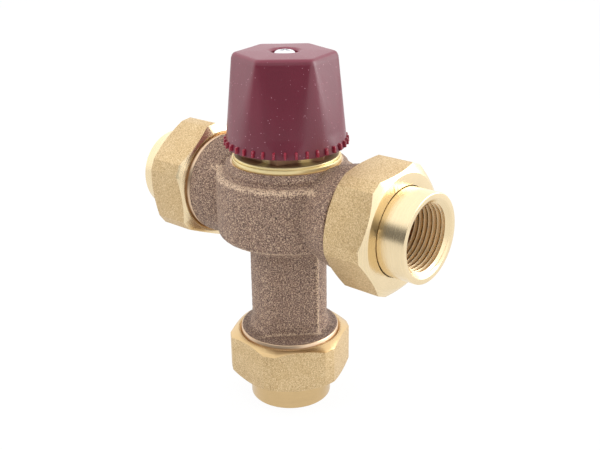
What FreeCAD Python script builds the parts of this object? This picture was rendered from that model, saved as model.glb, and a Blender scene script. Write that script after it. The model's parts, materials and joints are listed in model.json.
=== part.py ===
"""Mixing valve with three union ends: a cast tee body, a brass bonnet and a hexagonal cap.

Millimetres. Z points up along the cap, spindle and outlet; X runs through the two inlets.
The origin is the centre of the outlet's end face, so the valve stands on that face.
"""
import FreeCAD, Part
import os
from math import cos, pi, radians, sin, sqrt

HEX_SIDES = 6

# ---- Ports and unions: 3/4 inch taper pipe thread in every end ----
PORT_HEIGHT = 81.6          # inlet axis above the outlet's end face
INLET_REACH = 62.8          # valve axis to each inlet's end face
PIPE_THREAD_R = 11.83       # minor radius of the pipe thread at the mouth
MOUTH_R = 13.9              # outer radius of the mouth's countersink
MOUTH_DEPTH = 1.6
TAIL_R = 15.9
TAIL_STANDOUT = 10.6        # tailpiece standing out of its nut
TAIL_EDGE = 0.5
TAIL_FLANGE_R = 18.2
TAIL_FLANGE_THICKNESS = 2.6
NUT_LENGTH = 17.8
NUT_LIP = 4.0
NUT_FLATS = 43.0
NUT_CORNERS = 47.0          # across the cut-off corners
NUT_FACE_R = 20.4           # flat ring left by the chamfer on each end
NUT_CHAMFER_SLOPE = 0.55
NUT_BORE_EDGE = 0.8
GASKET_THICKNESS = 2.0
GASKET_BORE_R = 12.4
SPIGOT_R = 19.1             # threaded end of the body inside each nut
SPIGOT_EDGE = 0.6
SPIGOT_BARE = 1.2           # machined land seen between the casting and the nut
WATERWAY_R = 9.5
NUT_TURNS = {"hot": 7.0, "cold": 23.6, "outlet": -9.0}    # direction of one corner, degrees

# ---- Cast body, heights measured from the inlet axis ----
BARREL_R = 26.6
BARREL_TOP = 11.6
BARREL_BOTTOM = -12.2
BARREL_TAPER = 0.3          # draft of the barrel above and below the inlet axis
BARREL_EDGE = 1.3           # bevel along the barrel's edges
UNDERSIDE_R = 17.4
UNDERSIDE_DROP = 2.4
NECK_R = 14.6
NECK_STEP = 3.2
NECK_FLARE = 2.8            # height of the flare above the foot of the neck
NECK_FLARE_R = 16.0
NECK_FLARE_HEIGHT = 0.9
NECK_FLAT = 12.8            # apothem of the flat pad cast on the front of the neck
NECK_FLAT_FACING = -45.0
NECK_FLAT_END = 1.2
COLLAR_R = 19.9
COLLAR_SWELL_R = 22.6
COLLAR_EDGE = 0.9
SEAT_HEIGHT = 15.9          # machined face that carries the bonnet
SEAT_RELIEF_R = 20.9        # where the facing cut runs into the inlet necks
GROOVE_R = 23.1
GROOVE_RISE = 0.6
PORT_NECK_R = 19.4
PORT_NECK_DRAFT = 0.4
PORT_NECK_LENGTH = 3.2      # from the machined spigot in to the widest round of the neck
PORT_SHOULDER_R = 17.4
PORT_SHOULDER_LENGTH = 7.4
PORT_ROOT_R = 14.0          # inlet neck where it leaves the barrel
PORT_ROOT_LENGTH = 5.6
CHAMBER_R = 21.0
CHAMBER_HALF_HEIGHT = 9.4
WEB_HALF_HEIGHT = 3.0
WINDOW_HALF_WIDTH = 7.5
WINDOW_HIGH = 8.0
PORT_WALL_X = 24.6          # inner end of each inlet bore
WINDOW_OVERLAP = 0.5
MIXING_BORE_R = 10.7
SPRING_LEDGE = -25.0
SEAL_POCKET_R = 18.1
SEAL_POCKET_DEPTH = 1.5
BODY_THREAD_R = 16.5

# ---- Fits ----
THREAD_FIT = 0.05
RUNNING_FIT = 0.05
SLIDING_FIT = 0.10
LOOSE_FIT = 0.30
SEAT_GAP = 0.05
END_CLEARANCE = 0.5         # between pieces at the ends of their travel

# ---- Travels ----
CAP_TURN = 270.0            # either way from the middle setting, degrees
SCREW_LEAD = 2.0
CARRIAGE_TRAVEL = SCREW_LEAD * CAP_TURN / 360.0
SHUTTLE_TRAVEL = 0.8
OVERTRAVEL = 2.0

# ---- Shuttle and wax element ----
SHUTTLE_R = 12.4
SHUTTLE_WALL = 1.5
SHUTTLE_HALF_LENGTH = 7.4
SHUTTLE_ARMS = 4
ARM_WIDTH = 2.4
HUB_R = 7.4
HUB_BOTTOM = -2.5
HUB_TOP = 1.5
SEAL_WIDTH = 1.8
SEAL_DEPTH = 0.9
SEAT_LIP_R = 13.6
ELEMENT_BULB_R = 5.2
ELEMENT_BOTTOM = -22.0
ELEMENT_FLANGE_R = 6.6
ELEMENT_FLANGE_TOP = 3.5
ELEMENT_GUIDE_R = 3.4
ELEMENT_NOSE = 1.2
GUIDE_CLEARANCE = 1.7       # between the element and the ring above it, at their closest
PIN_R = 1.5
PIN_BOTTOM = 2.0
PIN_TOP = 17.0
WAX_DEPTH = 2.7             # room left for the wax below the pin
PIN_BORE_BOTTOM = PIN_BOTTOM - CARRIAGE_TRAVEL - SHUTTLE_TRAVEL - WAX_DEPTH

# ---- Adjusting nut, thrust cup and overload spring ----
CARRIAGE_FLATS = 16.8
CARRIAGE_BOTTOM = 12.5
CARRIAGE_CUP_R = 6.8
CARRIAGE_THREAD = 5.0       # length of the thread in the nut's roof
RING_BOTTOM = 13.5
RING_THICKNESS = 0.9
RING_GROOVE_R = 7.3
RING_BORE_R = 5.4
THRUST_R = 6.5
THRUST_FLANGE = 1.6
THRUST_BOSS_R = 4.2
THRUST_BOSS_TOP = 19.4
SPINDLE_BOTTOM = THRUST_BOSS_TOP + CARRIAGE_TRAVEL + OVERTRAVEL + END_CLEARANCE
SPINDLE_ENTRY = 0.6         # spindle standing out below the nut's roof
CARRIAGE_ROOF = SPINDLE_BOTTOM + SPINDLE_ENTRY
CARRIAGE_TOP = CARRIAGE_ROOF + CARRIAGE_THREAD
ELEMENT_GUIDE_TOP = RING_BOTTOM - CARRIAGE_TRAVEL - SHUTTLE_TRAVEL - GUIDE_CLEARANCE
CLOSED_PITCH = 1.05         # of each spring's closed end turns, in wire thicknesses
OVERLOAD_WIRE = 1.0
OVERLOAD_COIL_R = 5.6
OVERLOAD_TURNS = 4.5
RETURN_WIRE = 1.3
RETURN_COIL_R = 9.7
RETURN_TURNS = 5.5

# ---- Bonnet and spindle ----
BONNET_FLANGE_R = 20.2
BONNET_RIM = 1.7
BONNET_STEP_R = 19.5
BONNET_STEP = 0.8
BONNET_EDGE = 0.3
BONNET_BOTTOM_BORE_R = 10.2
BONNET_HEX_BOTTOM = 11.0
BONNET_WRENCH_FLATS = 30.0
BONNET_WRENCH_TOP = 26.5
BONNET_TOWER_R = 12.0
BONNET_ROOF_THICKNESS = 3.0
BONNET_NECK_R = 8.0
BONNET_NECK_TOP = 43.2
SPINDLE_R = 5.0
SPINDLE_THREAD_R = 4.0
SPINDLE_COLLAR_R = 7.4
SPINDLE_COLLAR = 1.5
COLLAR_CLEARANCE = 1.0      # between the collar and the nut when the nut is all the way up
BONNET_ROOF = CARRIAGE_TOP + CARRIAGE_TRAVEL + COLLAR_CLEARANCE + SPINDLE_COLLAR
BONNET_TOWER_TOP = BONNET_ROOF + BONNET_ROOF_THICKNESS
SPINDLE_SEAL_BOTTOM = 38.4
CLIP_THICKNESS = 0.8
CLIP_R = 7.4
CLIP_GROOVE_R = 4.0
CLIP_MOUTH = 6.4
SPLINE_TEETH = 12
SPLINE_R = 4.6
SPLINE_ROOT_R = 4.0
SPLINE_LENGTH = 6.4

# ---- Cap ----
CAP_BOTTOM = 22.0
CAP_TOP = 55.4
CAP_SKIRT_R = 22.2
CAP_TOP_CORNER_R = 18.8
CAP_TOP_FLATS = 33.0
CAP_WALL = 2.2
CAP_ROOF = 2.6
CAP_EDGE = 1.6              # round along the top edge
CAP_BAND = 1.0              # plain round band at the foot, below the ends of the flats
CAP_TURNED = 41.2           # direction of one corner of the hexagon, degrees
CAP_RIBS = 36
RIB_WIDTH = 1.0
RIB_HEIGHT = 3.2
RIB_PROUD = 0.8
CAP_HUB_R = 7.2
CAP_HUB_GAP = 2.0           # between the hub and the bonnet's neck
SCREW_HEAD_R = 4.15
SCREW_HEAD_HEIGHT = 2.2
SCREW_DOME_R = 5.4
SCREW_RECESS_R = 4.7
SCREW_RECESS_DEPTH = 1.6
SCREW_WEB = 2.4             # plastic between the screw's head and the spindle
SCREW_R = 2.0
SCREW_LENGTH = 9.0
SCREW_CROSS_WIDTH = 1.0
SCREW_CROSS_SPAN = 4.4
SCREW_CROSS_DEPTH = 1.1


def at(x, y, z):
    """A point whose height is measured from the inlet axis."""
    return FreeCAD.Vector(x, y, z + PORT_HEIGHT)


def revolved(profile):
    """Solid of revolution about Z from (radius, height) corners, heights from the inlet axis."""
    wire = Part.makePolygon([at(r, 0, z) for r, z in profile + profile[:1]])
    return Part.Face(wire).revolve(at(0, 0, 0), FreeCAD.Vector(0, 0, 1), 360)


def cylinder(radius, bottom, top):
    return Part.makeCylinder(radius, top - bottom, at(0, 0, bottom))


def tube(outer_r, inner_r, bottom, top):
    return cylinder(outer_r, bottom, top).cut(cylinder(inner_r, bottom, top))


def prism(points, bottom, top):
    """Upright prism on a closed outline of (x, y) corners."""
    wire = Part.makePolygon([at(x, y, bottom) for x, y in points + points[:1]])
    return Part.Face(wire).extrude(FreeCAD.Vector(0, 0, top - bottom))


def box(x_range, y_range, z_range):
    size = [high - low for low, high in (x_range, y_range, z_range)]
    return Part.makeBox(*size, at(x_range[0], y_range[0], z_range[0]))


def hexagon(flats, turned=0.0):
    corner_r = flats / sqrt(3)
    return [polar(corner_r, turned + 360 * i / HEX_SIDES) for i in range(HEX_SIDES)]


def polar(radius, degrees):
    return radius * cos(radians(degrees)), radius * sin(radians(degrees))


def placed_at_port(shape, port):
    """Move a shape made on the outlet, which points down from the inlet axis, to a port."""
    if port == "outlet":
        return shape
    moved = shape.copy()
    side = {"hot": -1, "cold": 1}[port]
    moved.translate(FreeCAD.Vector(0, 0, PORT_HEIGHT - INLET_REACH))
    moved.rotate(at(0, 0, 0), FreeCAD.Vector(0, 1, 0), -90 * side)
    return moved


# ---- Unions, drawn on the outlet, whose end face is at height -PORT_HEIGHT ----
END = -PORT_HEIGHT
NUT_OUTER = END + TAIL_STANDOUT
NUT_INNER = NUT_OUTER + NUT_LENGTH
FLANGE_OUTER = NUT_OUTER + NUT_LIP
FLANGE_INNER = FLANGE_OUTER + TAIL_FLANGE_THICKNESS
SPIGOT_END = FLANGE_INNER + GASKET_THICKNESS
SPIGOT_TOP = NUT_INNER + SPIGOT_BARE


def tailpiece():
    return revolved([
        (MOUTH_R, END),
        (TAIL_R - TAIL_EDGE, END),
        (TAIL_R, END + TAIL_EDGE),
        (TAIL_R, FLANGE_OUTER),
        (TAIL_FLANGE_R, FLANGE_OUTER),
        (TAIL_FLANGE_R, FLANGE_INNER),
        (PIPE_THREAD_R, FLANGE_INNER),
        (PIPE_THREAD_R, END + MOUTH_DEPTH),
    ])


def gasket():
    return tube(TAIL_FLANGE_R, GASKET_BORE_R, FLANGE_INNER, SPIGOT_END)


def union_nut(turned):
    """Hexagon nut with its corners cut off and a cone turned on each end."""
    flats = prism(hexagon(NUT_FLATS, turned), NUT_OUTER, NUT_INNER)
    corners = prism(hexagon(NUT_CORNERS, turned + 180 / HEX_SIDES), NUT_OUTER, NUT_INNER)
    corner_r = NUT_FLATS / sqrt(3)
    drop = (corner_r - NUT_FACE_R) * NUT_CHAMFER_SLOPE
    cones = revolved([
        (0, NUT_OUTER),
        (NUT_FACE_R, NUT_OUTER),
        (corner_r, NUT_OUTER + drop),
        (corner_r, NUT_INNER - drop),
        (NUT_FACE_R, NUT_INNER),
        (0, NUT_INNER),
    ])
    thread_r = SPIGOT_R + THREAD_FIT
    bore = revolved([
        (0, NUT_OUTER),
        (TAIL_R + LOOSE_FIT, NUT_OUTER),
        (TAIL_R + LOOSE_FIT, FLANGE_OUTER),
        (thread_r, FLANGE_OUTER),
        (thread_r, NUT_INNER - NUT_BORE_EDGE),
        (thread_r + NUT_BORE_EDGE, NUT_INNER),
        (0, NUT_INNER),
    ])
    return flats.common(corners).common(cones).cut(bore)


def body_casting():
    """Outer skin of the tee: barrel and collar, outlet neck, two inlet necks."""
    neck_top = BARREL_BOTTOM - UNDERSIDE_DROP - NECK_STEP
    barrel = revolved([
        (0, SEAT_HEIGHT),
        (COLLAR_R, SEAT_HEIGHT),
        (COLLAR_SWELL_R, SEAT_HEIGHT - COLLAR_EDGE),
        (GROOVE_R, BARREL_TOP + GROOVE_RISE),
        (BARREL_R - BARREL_EDGE, BARREL_TOP),
        (BARREL_R - BARREL_TAPER, BARREL_TOP - BARREL_EDGE / 2),
        (BARREL_R, 0),
        (BARREL_R - BARREL_TAPER, BARREL_BOTTOM + BARREL_EDGE),
        (BARREL_R - BARREL_EDGE, BARREL_BOTTOM),
        (UNDERSIDE_R, BARREL_BOTTOM - UNDERSIDE_DROP),
        (NECK_R, neck_top),
        (NECK_R, SPIGOT_TOP + NECK_FLARE),
        (NECK_FLARE_R, SPIGOT_TOP + NECK_FLARE_HEIGHT),
        (SPIGOT_R, SPIGOT_TOP),
        (SPIGOT_R, SPIGOT_END + SPIGOT_EDGE),
        (SPIGOT_R - SPIGOT_EDGE, SPIGOT_END),
        (0, SPIGOT_END),
    ])
    pad = box((NECK_FLAT, BARREL_R), (-NECK_R, NECK_R), (SPIGOT_TOP + NECK_FLAT_END, neck_top))
    pad.rotate(at(0, 0, 0), FreeCAD.Vector(0, 0, 1), NECK_FLAT_FACING)
    centre = INLET_REACH - PORT_HEIGHT
    neck = SPIGOT_TOP + PORT_NECK_LENGTH
    shoulder = neck + PORT_SHOULDER_LENGTH
    inlet = revolved([
        (0, centre),
        (PORT_ROOT_R, centre),
        (PORT_ROOT_R, shoulder + PORT_ROOT_LENGTH),
        (PORT_SHOULDER_R, shoulder),
        (PORT_NECK_R, neck),
        (PORT_NECK_R, SPIGOT_TOP + PORT_NECK_DRAFT),
        (SPIGOT_R, SPIGOT_TOP),
        (SPIGOT_R, SPIGOT_END + SPIGOT_EDGE),
        (SPIGOT_R - SPIGOT_EDGE, SPIGOT_END),
        (0, SPIGOT_END),
    ])
    inlets = [placed_at_port(inlet, port) for port in ("hot", "cold")]
    relief = cylinder(SEAT_RELIEF_R, SEAT_HEIGHT, BARREL_R)
    return barrel.cut(pad).fuse(inlets).cut(relief)


COLD_SEAT = SHUTTLE_HALF_LENGTH + SHUTTLE_TRAVEL + SEAT_GAP
HOT_SEAT = -COLD_SEAT


def waterways():
    """Everything bored or cored out of the casting."""
    guide_r = SHUTTLE_R + RUNNING_FIT
    core = revolved([
        (0, SEAT_HEIGHT),
        (SEAL_POCKET_R, SEAT_HEIGHT),
        (SEAL_POCKET_R, SEAT_HEIGHT - SEAL_POCKET_DEPTH),
        (BODY_THREAD_R, SEAT_HEIGHT - SEAL_POCKET_DEPTH),
        (BODY_THREAD_R, CHAMBER_HALF_HEIGHT),
        (CHAMBER_R, CHAMBER_HALF_HEIGHT),
        (CHAMBER_R, WEB_HALF_HEIGHT),
        (guide_r, WEB_HALF_HEIGHT),
        (guide_r, -WEB_HALF_HEIGHT),
        (CHAMBER_R, -WEB_HALF_HEIGHT),
        (CHAMBER_R, -CHAMBER_HALF_HEIGHT),
        (SEAT_LIP_R, -CHAMBER_HALF_HEIGHT),
        (SEAT_LIP_R, HOT_SEAT),
        (MIXING_BORE_R, HOT_SEAT),
        (MIXING_BORE_R, SPRING_LEDGE),
        (WATERWAY_R, SPRING_LEDGE),
        (WATERWAY_R, SPIGOT_END),
        (0, SPIGOT_END),
    ])
    bore = cylinder(WATERWAY_R, SPIGOT_END, INLET_REACH - PORT_HEIGHT - PORT_WALL_X)
    bores = [placed_at_port(bore, port) for port in ("hot", "cold")]
    across = (-WINDOW_HALF_WIDTH, WINDOW_HALF_WIDTH)
    inner = SHUTTLE_R + SHUTTLE_WALL
    outer = PORT_WALL_X + WINDOW_OVERLAP
    cold_window = box((inner, outer), across, (WEB_HALF_HEIGHT, WINDOW_HIGH))
    hot_window = box((-outer, -inner), across, (-WINDOW_HIGH, -WEB_HALF_HEIGHT))
    return core.fuse(bores + [cold_window, hot_window])


def valve_body():
    return body_casting().cut(waterways())


def bonnet():
    thread_r = BODY_THREAD_R - THREAD_FIT
    step = SEAT_HEIGHT + BONNET_RIM
    shoulder = step + BONNET_STEP
    turned = revolved([
        (0, COLD_SEAT),
        (thread_r, COLD_SEAT),
        (thread_r, SEAT_HEIGHT),
        (BONNET_FLANGE_R - BONNET_EDGE, SEAT_HEIGHT),
        (BONNET_FLANGE_R, SEAT_HEIGHT + BONNET_EDGE),
        (BONNET_FLANGE_R, step - BONNET_EDGE),
        (BONNET_FLANGE_R - BONNET_EDGE, step),
        (BONNET_STEP_R, step),
        (BONNET_STEP_R, shoulder - BONNET_EDGE),
        (BONNET_STEP_R - BONNET_EDGE, shoulder),
        (BONNET_TOWER_R, shoulder),
        (BONNET_TOWER_R, BONNET_TOWER_TOP),
        (BONNET_NECK_R, BONNET_TOWER_TOP),
        (BONNET_NECK_R, BONNET_NECK_TOP),
        (0, BONNET_NECK_TOP),
    ])
    wrench = prism(hexagon(BONNET_WRENCH_FLATS), shoulder, BONNET_WRENCH_TOP)
    entry = cylinder(BONNET_BOTTOM_BORE_R, COLD_SEAT, BONNET_HEX_BOTTOM)
    slide = prism(hexagon(CARRIAGE_FLATS + 2 * SLIDING_FIT), BONNET_HEX_BOTTOM, BONNET_ROOF)
    spindle_bore = cylinder(SPINDLE_R + RUNNING_FIT, BONNET_ROOF, BONNET_NECK_TOP)
    return turned.fuse(wrench).cut([entry, slide, spindle_bore])


def bonnet_seal():
    return tube(SEAL_POCKET_R, BODY_THREAD_R, SEAT_HEIGHT - SEAL_POCKET_DEPTH, SEAT_HEIGHT)


def star(outer_r, root_r, teeth):
    """Outline of a straight-toothed spline."""
    step = 180.0 / teeth
    return [polar(root_r if i % 2 else outer_r, i * step) for i in range(2 * teeth)]


SCREW_SEAT = CAP_TOP - SCREW_RECESS_DEPTH
SCREW_END = SCREW_SEAT - SCREW_LENGTH
SPLINE_TOP = SCREW_SEAT - SCREW_WEB
SPLINE_BOTTOM = SPLINE_TOP - SPLINE_LENGTH
CAP_HUB_BOTTOM = BONNET_NECK_TOP + CAP_HUB_GAP
CLIP_BOTTOM = BONNET_NECK_TOP + SEAT_GAP
COLLAR_TOP = BONNET_ROOF - SEAT_GAP
SPINDLE_SEAL_ROOT_R = SPINDLE_R - SEAL_DEPTH


def spindle():
    """Adjusting spindle: left-hand thread below, thrust collar, seal groove, clip groove, spline."""
    collar_bottom = COLLAR_TOP - SPINDLE_COLLAR
    seal_top = SPINDLE_SEAL_BOTTOM + SEAL_WIDTH
    clip_top = CLIP_BOTTOM + CLIP_THICKNESS
    shaft = revolved([
        (0, SPINDLE_BOTTOM),
        (SPINDLE_THREAD_R, SPINDLE_BOTTOM),
        (SPINDLE_THREAD_R, collar_bottom),
        (SPINDLE_COLLAR_R, collar_bottom),
        (SPINDLE_COLLAR_R, COLLAR_TOP),
        (SPINDLE_R, COLLAR_TOP),
        (SPINDLE_R, SPINDLE_SEAL_BOTTOM),
        (SPINDLE_SEAL_ROOT_R, SPINDLE_SEAL_BOTTOM),
        (SPINDLE_SEAL_ROOT_R, seal_top),
        (SPINDLE_R, seal_top),
        (SPINDLE_R, CLIP_BOTTOM),
        (CLIP_GROOVE_R, CLIP_BOTTOM),
        (CLIP_GROOVE_R, clip_top),
        (SPINDLE_R, clip_top),
        (SPINDLE_R, SPLINE_BOTTOM),
        (0, SPLINE_BOTTOM),
    ])
    spline = prism(star(SPLINE_R, SPLINE_ROOT_R, SPLINE_TEETH), SPLINE_BOTTOM, SPLINE_TOP)
    tapped = cylinder(SCREW_R + THREAD_FIT, SCREW_END - LOOSE_FIT, SPLINE_TOP)
    return shaft.fuse(spline).cut(tapped)


def spindle_seal():
    top = SPINDLE_SEAL_BOTTOM + SEAL_WIDTH
    return tube(SPINDLE_R + RUNNING_FIT / 2, SPINDLE_SEAL_ROOT_R, SPINDLE_SEAL_BOTTOM, top)


def spindle_clip():
    """E-clip that keeps the spindle from dropping into the bonnet."""
    top = CLIP_BOTTOM + CLIP_THICKNESS
    ring = tube(CLIP_R, CLIP_GROOVE_R, CLIP_BOTTOM, top)
    gap = box((0, CLIP_R), (-CLIP_MOUTH / 2, CLIP_MOUTH / 2), (CLIP_BOTTOM, top))
    return ring.cut(gap)


def adjusting_nut():
    """Hexagonal carriage that the spindle screws up and down inside the bonnet."""
    block = prism(hexagon(CARRIAGE_FLATS), CARRIAGE_BOTTOM, CARRIAGE_TOP)
    cup = revolved([
        (0, CARRIAGE_BOTTOM),
        (CARRIAGE_CUP_R, CARRIAGE_BOTTOM),
        (CARRIAGE_CUP_R, RING_BOTTOM),
        (RING_GROOVE_R, RING_BOTTOM),
        (RING_GROOVE_R, RING_TOP),
        (CARRIAGE_CUP_R, RING_TOP),
        (CARRIAGE_CUP_R, CARRIAGE_ROOF),
        (SPINDLE_THREAD_R + RUNNING_FIT, CARRIAGE_ROOF),
        (SPINDLE_THREAD_R + RUNNING_FIT, CARRIAGE_TOP),
        (0, CARRIAGE_TOP),
    ])
    return block.cut(cup)


RING_TOP = RING_BOTTOM + RING_THICKNESS
THRUST_BOTTOM = RING_TOP + SEAT_GAP
THRUST_TOP = THRUST_BOTTOM + THRUST_FLANGE


def retaining_ring():
    """Split ring in the mouth of the adjusting nut."""
    ring = tube(RING_GROOVE_R, RING_BORE_R, RING_BOTTOM, RING_TOP)
    gap = box((0, RING_GROOVE_R), (-RING_THICKNESS, RING_THICKNESS), (RING_BOTTOM, RING_TOP))
    return ring.cut(gap)


def thrust_cup():
    return revolved([
        (PIN_R + THREAD_FIT, THRUST_BOTTOM),
        (THRUST_R, THRUST_BOTTOM),
        (THRUST_R, THRUST_TOP),
        (THRUST_BOSS_R, THRUST_TOP),
        (THRUST_BOSS_R, THRUST_BOSS_TOP),
        (0, THRUST_BOSS_TOP),
        (0, PIN_TOP),
        (PIN_R + THREAD_FIT, PIN_TOP),
    ])


def element_pin():
    return cylinder(PIN_R, PIN_BOTTOM, PIN_TOP)


def coil(coil_r, wire, turns, bottom, top, steps_per_turn=14, sides=6):
    """Helical spring with closed end turns, lofted through sections set along the wire."""
    closed = CLOSED_PITCH * wire
    open_pitch = (top - bottom - wire - 2 * closed) / (turns - 2)

    def height(turn):
        if turn <= 1:
            rise = closed * turn
        elif turn >= turns - 1:
            rise = closed + open_pitch * (turns - 2) + closed * (turn - turns + 1)
        else:
            rise = closed + open_pitch * (turn - 1)
        return bottom + wire / 2 + rise

    sections = []
    for i in range(round(turns * steps_per_turn) + 1):
        turn = i / steps_per_turn
        corners = []
        for side in range(sides + 1):
            around = 2 * pi * (side + 0.5) / sides
            x, y = polar(coil_r + wire / 2 * cos(around), 360 * turn)
            corners.append(at(x, y, height(turn) + wire / 2 * sin(around)))
        sections.append(Part.makePolygon(corners))
    return Part.makeLoft(sections, True, True)


def overload_spring():
    return coil(OVERLOAD_COIL_R, OVERLOAD_WIRE, OVERLOAD_TURNS, THRUST_TOP, CARRIAGE_ROOF)


def return_spring():
    return coil(RETURN_COIL_R, RETURN_WIRE, RETURN_TURNS, SPRING_LEDGE, HUB_BOTTOM)


def shuttle():
    """Sleeve that opens one seat as it closes the other, with a hub on four arms."""
    bore_r = SHUTTLE_R - SHUTTLE_WALL
    sleeve = revolved([
        (bore_r, -SHUTTLE_HALF_LENGTH),
        (SHUTTLE_R, -SHUTTLE_HALF_LENGTH),
        (SHUTTLE_R, -SEAL_WIDTH / 2),
        (SHUTTLE_R - SEAL_DEPTH, -SEAL_WIDTH / 2),
        (SHUTTLE_R - SEAL_DEPTH, SEAL_WIDTH / 2),
        (SHUTTLE_R, SEAL_WIDTH / 2),
        (SHUTTLE_R, SHUTTLE_HALF_LENGTH),
        (bore_r, SHUTTLE_HALF_LENGTH),
    ])
    hub_bore_r = ELEMENT_BULB_R + SLIDING_FIT
    hub = tube(HUB_R, hub_bore_r, HUB_BOTTOM, HUB_TOP)
    half = ARM_WIDTH / 2
    reach = ((hub_bore_r + HUB_R) / 2, bore_r + SHUTTLE_WALL / 4)
    arms = []
    for i in range(SHUTTLE_ARMS):
        arm = box(reach, (-half, half), (HUB_BOTTOM, HUB_TOP))
        arm.rotate(at(0, 0, 0), FreeCAD.Vector(0, 0, 1), i * 360 / SHUTTLE_ARMS)
        arms.append(arm)
    return sleeve.fuse([hub] + arms)


def shuttle_seal():
    half = SEAL_WIDTH / 2
    return tube(SHUTTLE_R + RUNNING_FIT / 2, SHUTTLE_R - SEAL_DEPTH, -half, half)


def wax_element():
    pin_bore_r = PIN_R + RUNNING_FIT
    return revolved([
        (0, ELEMENT_BOTTOM),
        (ELEMENT_BULB_R - ELEMENT_NOSE, ELEMENT_BOTTOM),
        (ELEMENT_BULB_R, ELEMENT_BOTTOM + ELEMENT_NOSE),
        (ELEMENT_BULB_R, HUB_TOP),
        (ELEMENT_FLANGE_R, HUB_TOP),
        (ELEMENT_FLANGE_R, ELEMENT_FLANGE_TOP),
        (ELEMENT_GUIDE_R, ELEMENT_FLANGE_TOP),
        (ELEMENT_GUIDE_R, ELEMENT_GUIDE_TOP),
        (pin_bore_r, ELEMENT_GUIDE_TOP),
        (pin_bore_r, PIN_BORE_BOTTOM),
        (0, PIN_BORE_BOTTOM),
    ])


def cap_shell():
    """Tapered round cap with six flats that fade out above its foot, hollow below."""
    height = CAP_TOP - CAP_BOTTOM
    flat_r = CAP_TOP_FLATS / 2
    cone = Part.makeCone(CAP_SKIRT_R, CAP_TOP_CORNER_R, height, at(0, 0, CAP_BOTTOM))
    fade = CAP_BOTTOM + CAP_BAND
    slope = (CAP_SKIRT_R - CAP_TOP_CORNER_R) / height
    foot_r = CAP_SKIRT_R - slope * CAP_BAND
    lower = [at(x, y, fade) for x, y in hexagon(2 * foot_r, CAP_TURNED)]
    upper = [at(x, y, CAP_TOP) for x, y in hexagon(CAP_TOP_FLATS, CAP_TURNED)]
    outlines = [lower, upper]
    for i in range(HEX_SIDES):
        outlines.append([lower[i], lower[i - 1], upper[i - 1], upper[i]])
    sides = [Part.Face(Part.makePolygon(corners + corners[:1])) for corners in outlines]
    flats = Part.makeSolid(Part.makeShell(sides))
    foot = cylinder(CAP_SKIRT_R, CAP_BOTTOM, fade)
    solid = cone.common(flats.fuse(foot)).removeSplitter()
    rim = [edge for edge in solid.Edges if edge.BoundBox.ZMin > at(0, 0, CAP_TOP - CAP_EDGE).z]
    solid = solid.makeFillet(CAP_EDGE, rim)
    roof = CAP_TOP - CAP_ROOF
    hollow = revolved([
        (0, CAP_BOTTOM),
        (CAP_SKIRT_R - CAP_WALL, CAP_BOTTOM),
        (flat_r - CAP_WALL, roof),
        (0, roof),
    ])
    return solid.cut(hollow)


def cap():
    shell = cap_shell()
    hub = cylinder(CAP_HUB_R, CAP_HUB_BOTTOM, CAP_TOP - CAP_ROOF)
    ribs = []
    half = RIB_WIDTH / 2
    depth = (CAP_SKIRT_R - CAP_WALL / 2, CAP_SKIRT_R + RIB_PROUD)
    for i in range(CAP_RIBS):
        rib = box(depth, (-half, half), (CAP_BOTTOM, CAP_BOTTOM + RIB_HEIGHT))
        rib.rotate(at(0, 0, 0), FreeCAD.Vector(0, 0, 1), i * 360 / CAP_RIBS)
        ribs.append(rib)
    tooth = star(SPLINE_R + SLIDING_FIT, SPLINE_ROOT_R + SLIDING_FIT, SPLINE_TEETH)
    socket = prism(tooth, CAP_HUB_BOTTOM, SPLINE_TOP + SLIDING_FIT)
    screw_hole = cylinder(SCREW_R + LOOSE_FIT, SPLINE_TOP, CAP_TOP)
    recess = cylinder(SCREW_RECESS_R, SCREW_SEAT, CAP_TOP)
    return shell.fuse([hub] + ribs).cut([socket, screw_hole, recess])


def cap_screw():
    """Pan-head screw with a cross recess."""
    top = SCREW_SEAT + SCREW_HEAD_HEIGHT
    dome = Part.makeSphere(SCREW_DOME_R, at(0, 0, top - SCREW_DOME_R))
    head = cylinder(SCREW_HEAD_R, SCREW_SEAT, top).common(dome)
    half_width = SCREW_CROSS_WIDTH / 2
    half_span = SCREW_CROSS_SPAN / 2
    depth = (top - SCREW_CROSS_DEPTH, top)
    slots = [
        box((-half_span, half_span), (-half_width, half_width), depth),
        box((-half_width, half_width), (-half_span, half_span), depth),
    ]
    return head.fuse(cylinder(SCREW_R, SCREW_END, SCREW_SEAT)).cut(slots)


def pieces():
    made = {
        "valve_body": valve_body(),
        "bonnet": bonnet(),
        "bonnet_seal": bonnet_seal(),
        "return_spring": return_spring(),
        "shuttle": shuttle(),
        "shuttle_seal": shuttle_seal(),
        "wax_element": wax_element(),
        "element_pin": element_pin(),
        "thrust_cup": thrust_cup(),
        "retaining_ring": retaining_ring(),
        "overload_spring": overload_spring(),
        "adjusting_nut": adjusting_nut(),
        "spindle": spindle(),
        "spindle_seal": spindle_seal(),
        "spindle_clip": spindle_clip(),
        "cap": cap(),
        "cap_screw": cap_screw(),
    }
    for port, turned in NUT_TURNS.items():
        made[port + "_union_nut"] = placed_at_port(union_nut(turned), port)
        made[port + "_tailpiece"] = placed_at_port(tailpiece(), port)
        made[port + "_gasket"] = placed_at_port(gasket(), port)
    return made


os.makedirs("parts", exist_ok=True)
for name, shape in pieces().items():
    solid = shape.removeSplitter()
    solid.exportStep("parts/" + name + ".step")
    print(name, "valid" if solid.isValid() else "INVALID", len(solid.Solids), round(solid.Volume, 1))
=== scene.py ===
"""Mixing valve with three union ends: visible pieces, finishes and studio.

Metres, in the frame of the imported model. Z points up along the cap and the outlet, and X runs
through the two inlets. The file is laid out as an add-on: the property groups hold the sizes and
colours, one operator makes each piece or group of like pieces, and main() runs them in order.
"""
import json
from math import atan2, cos, pi, radians, sin, sqrt

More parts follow.
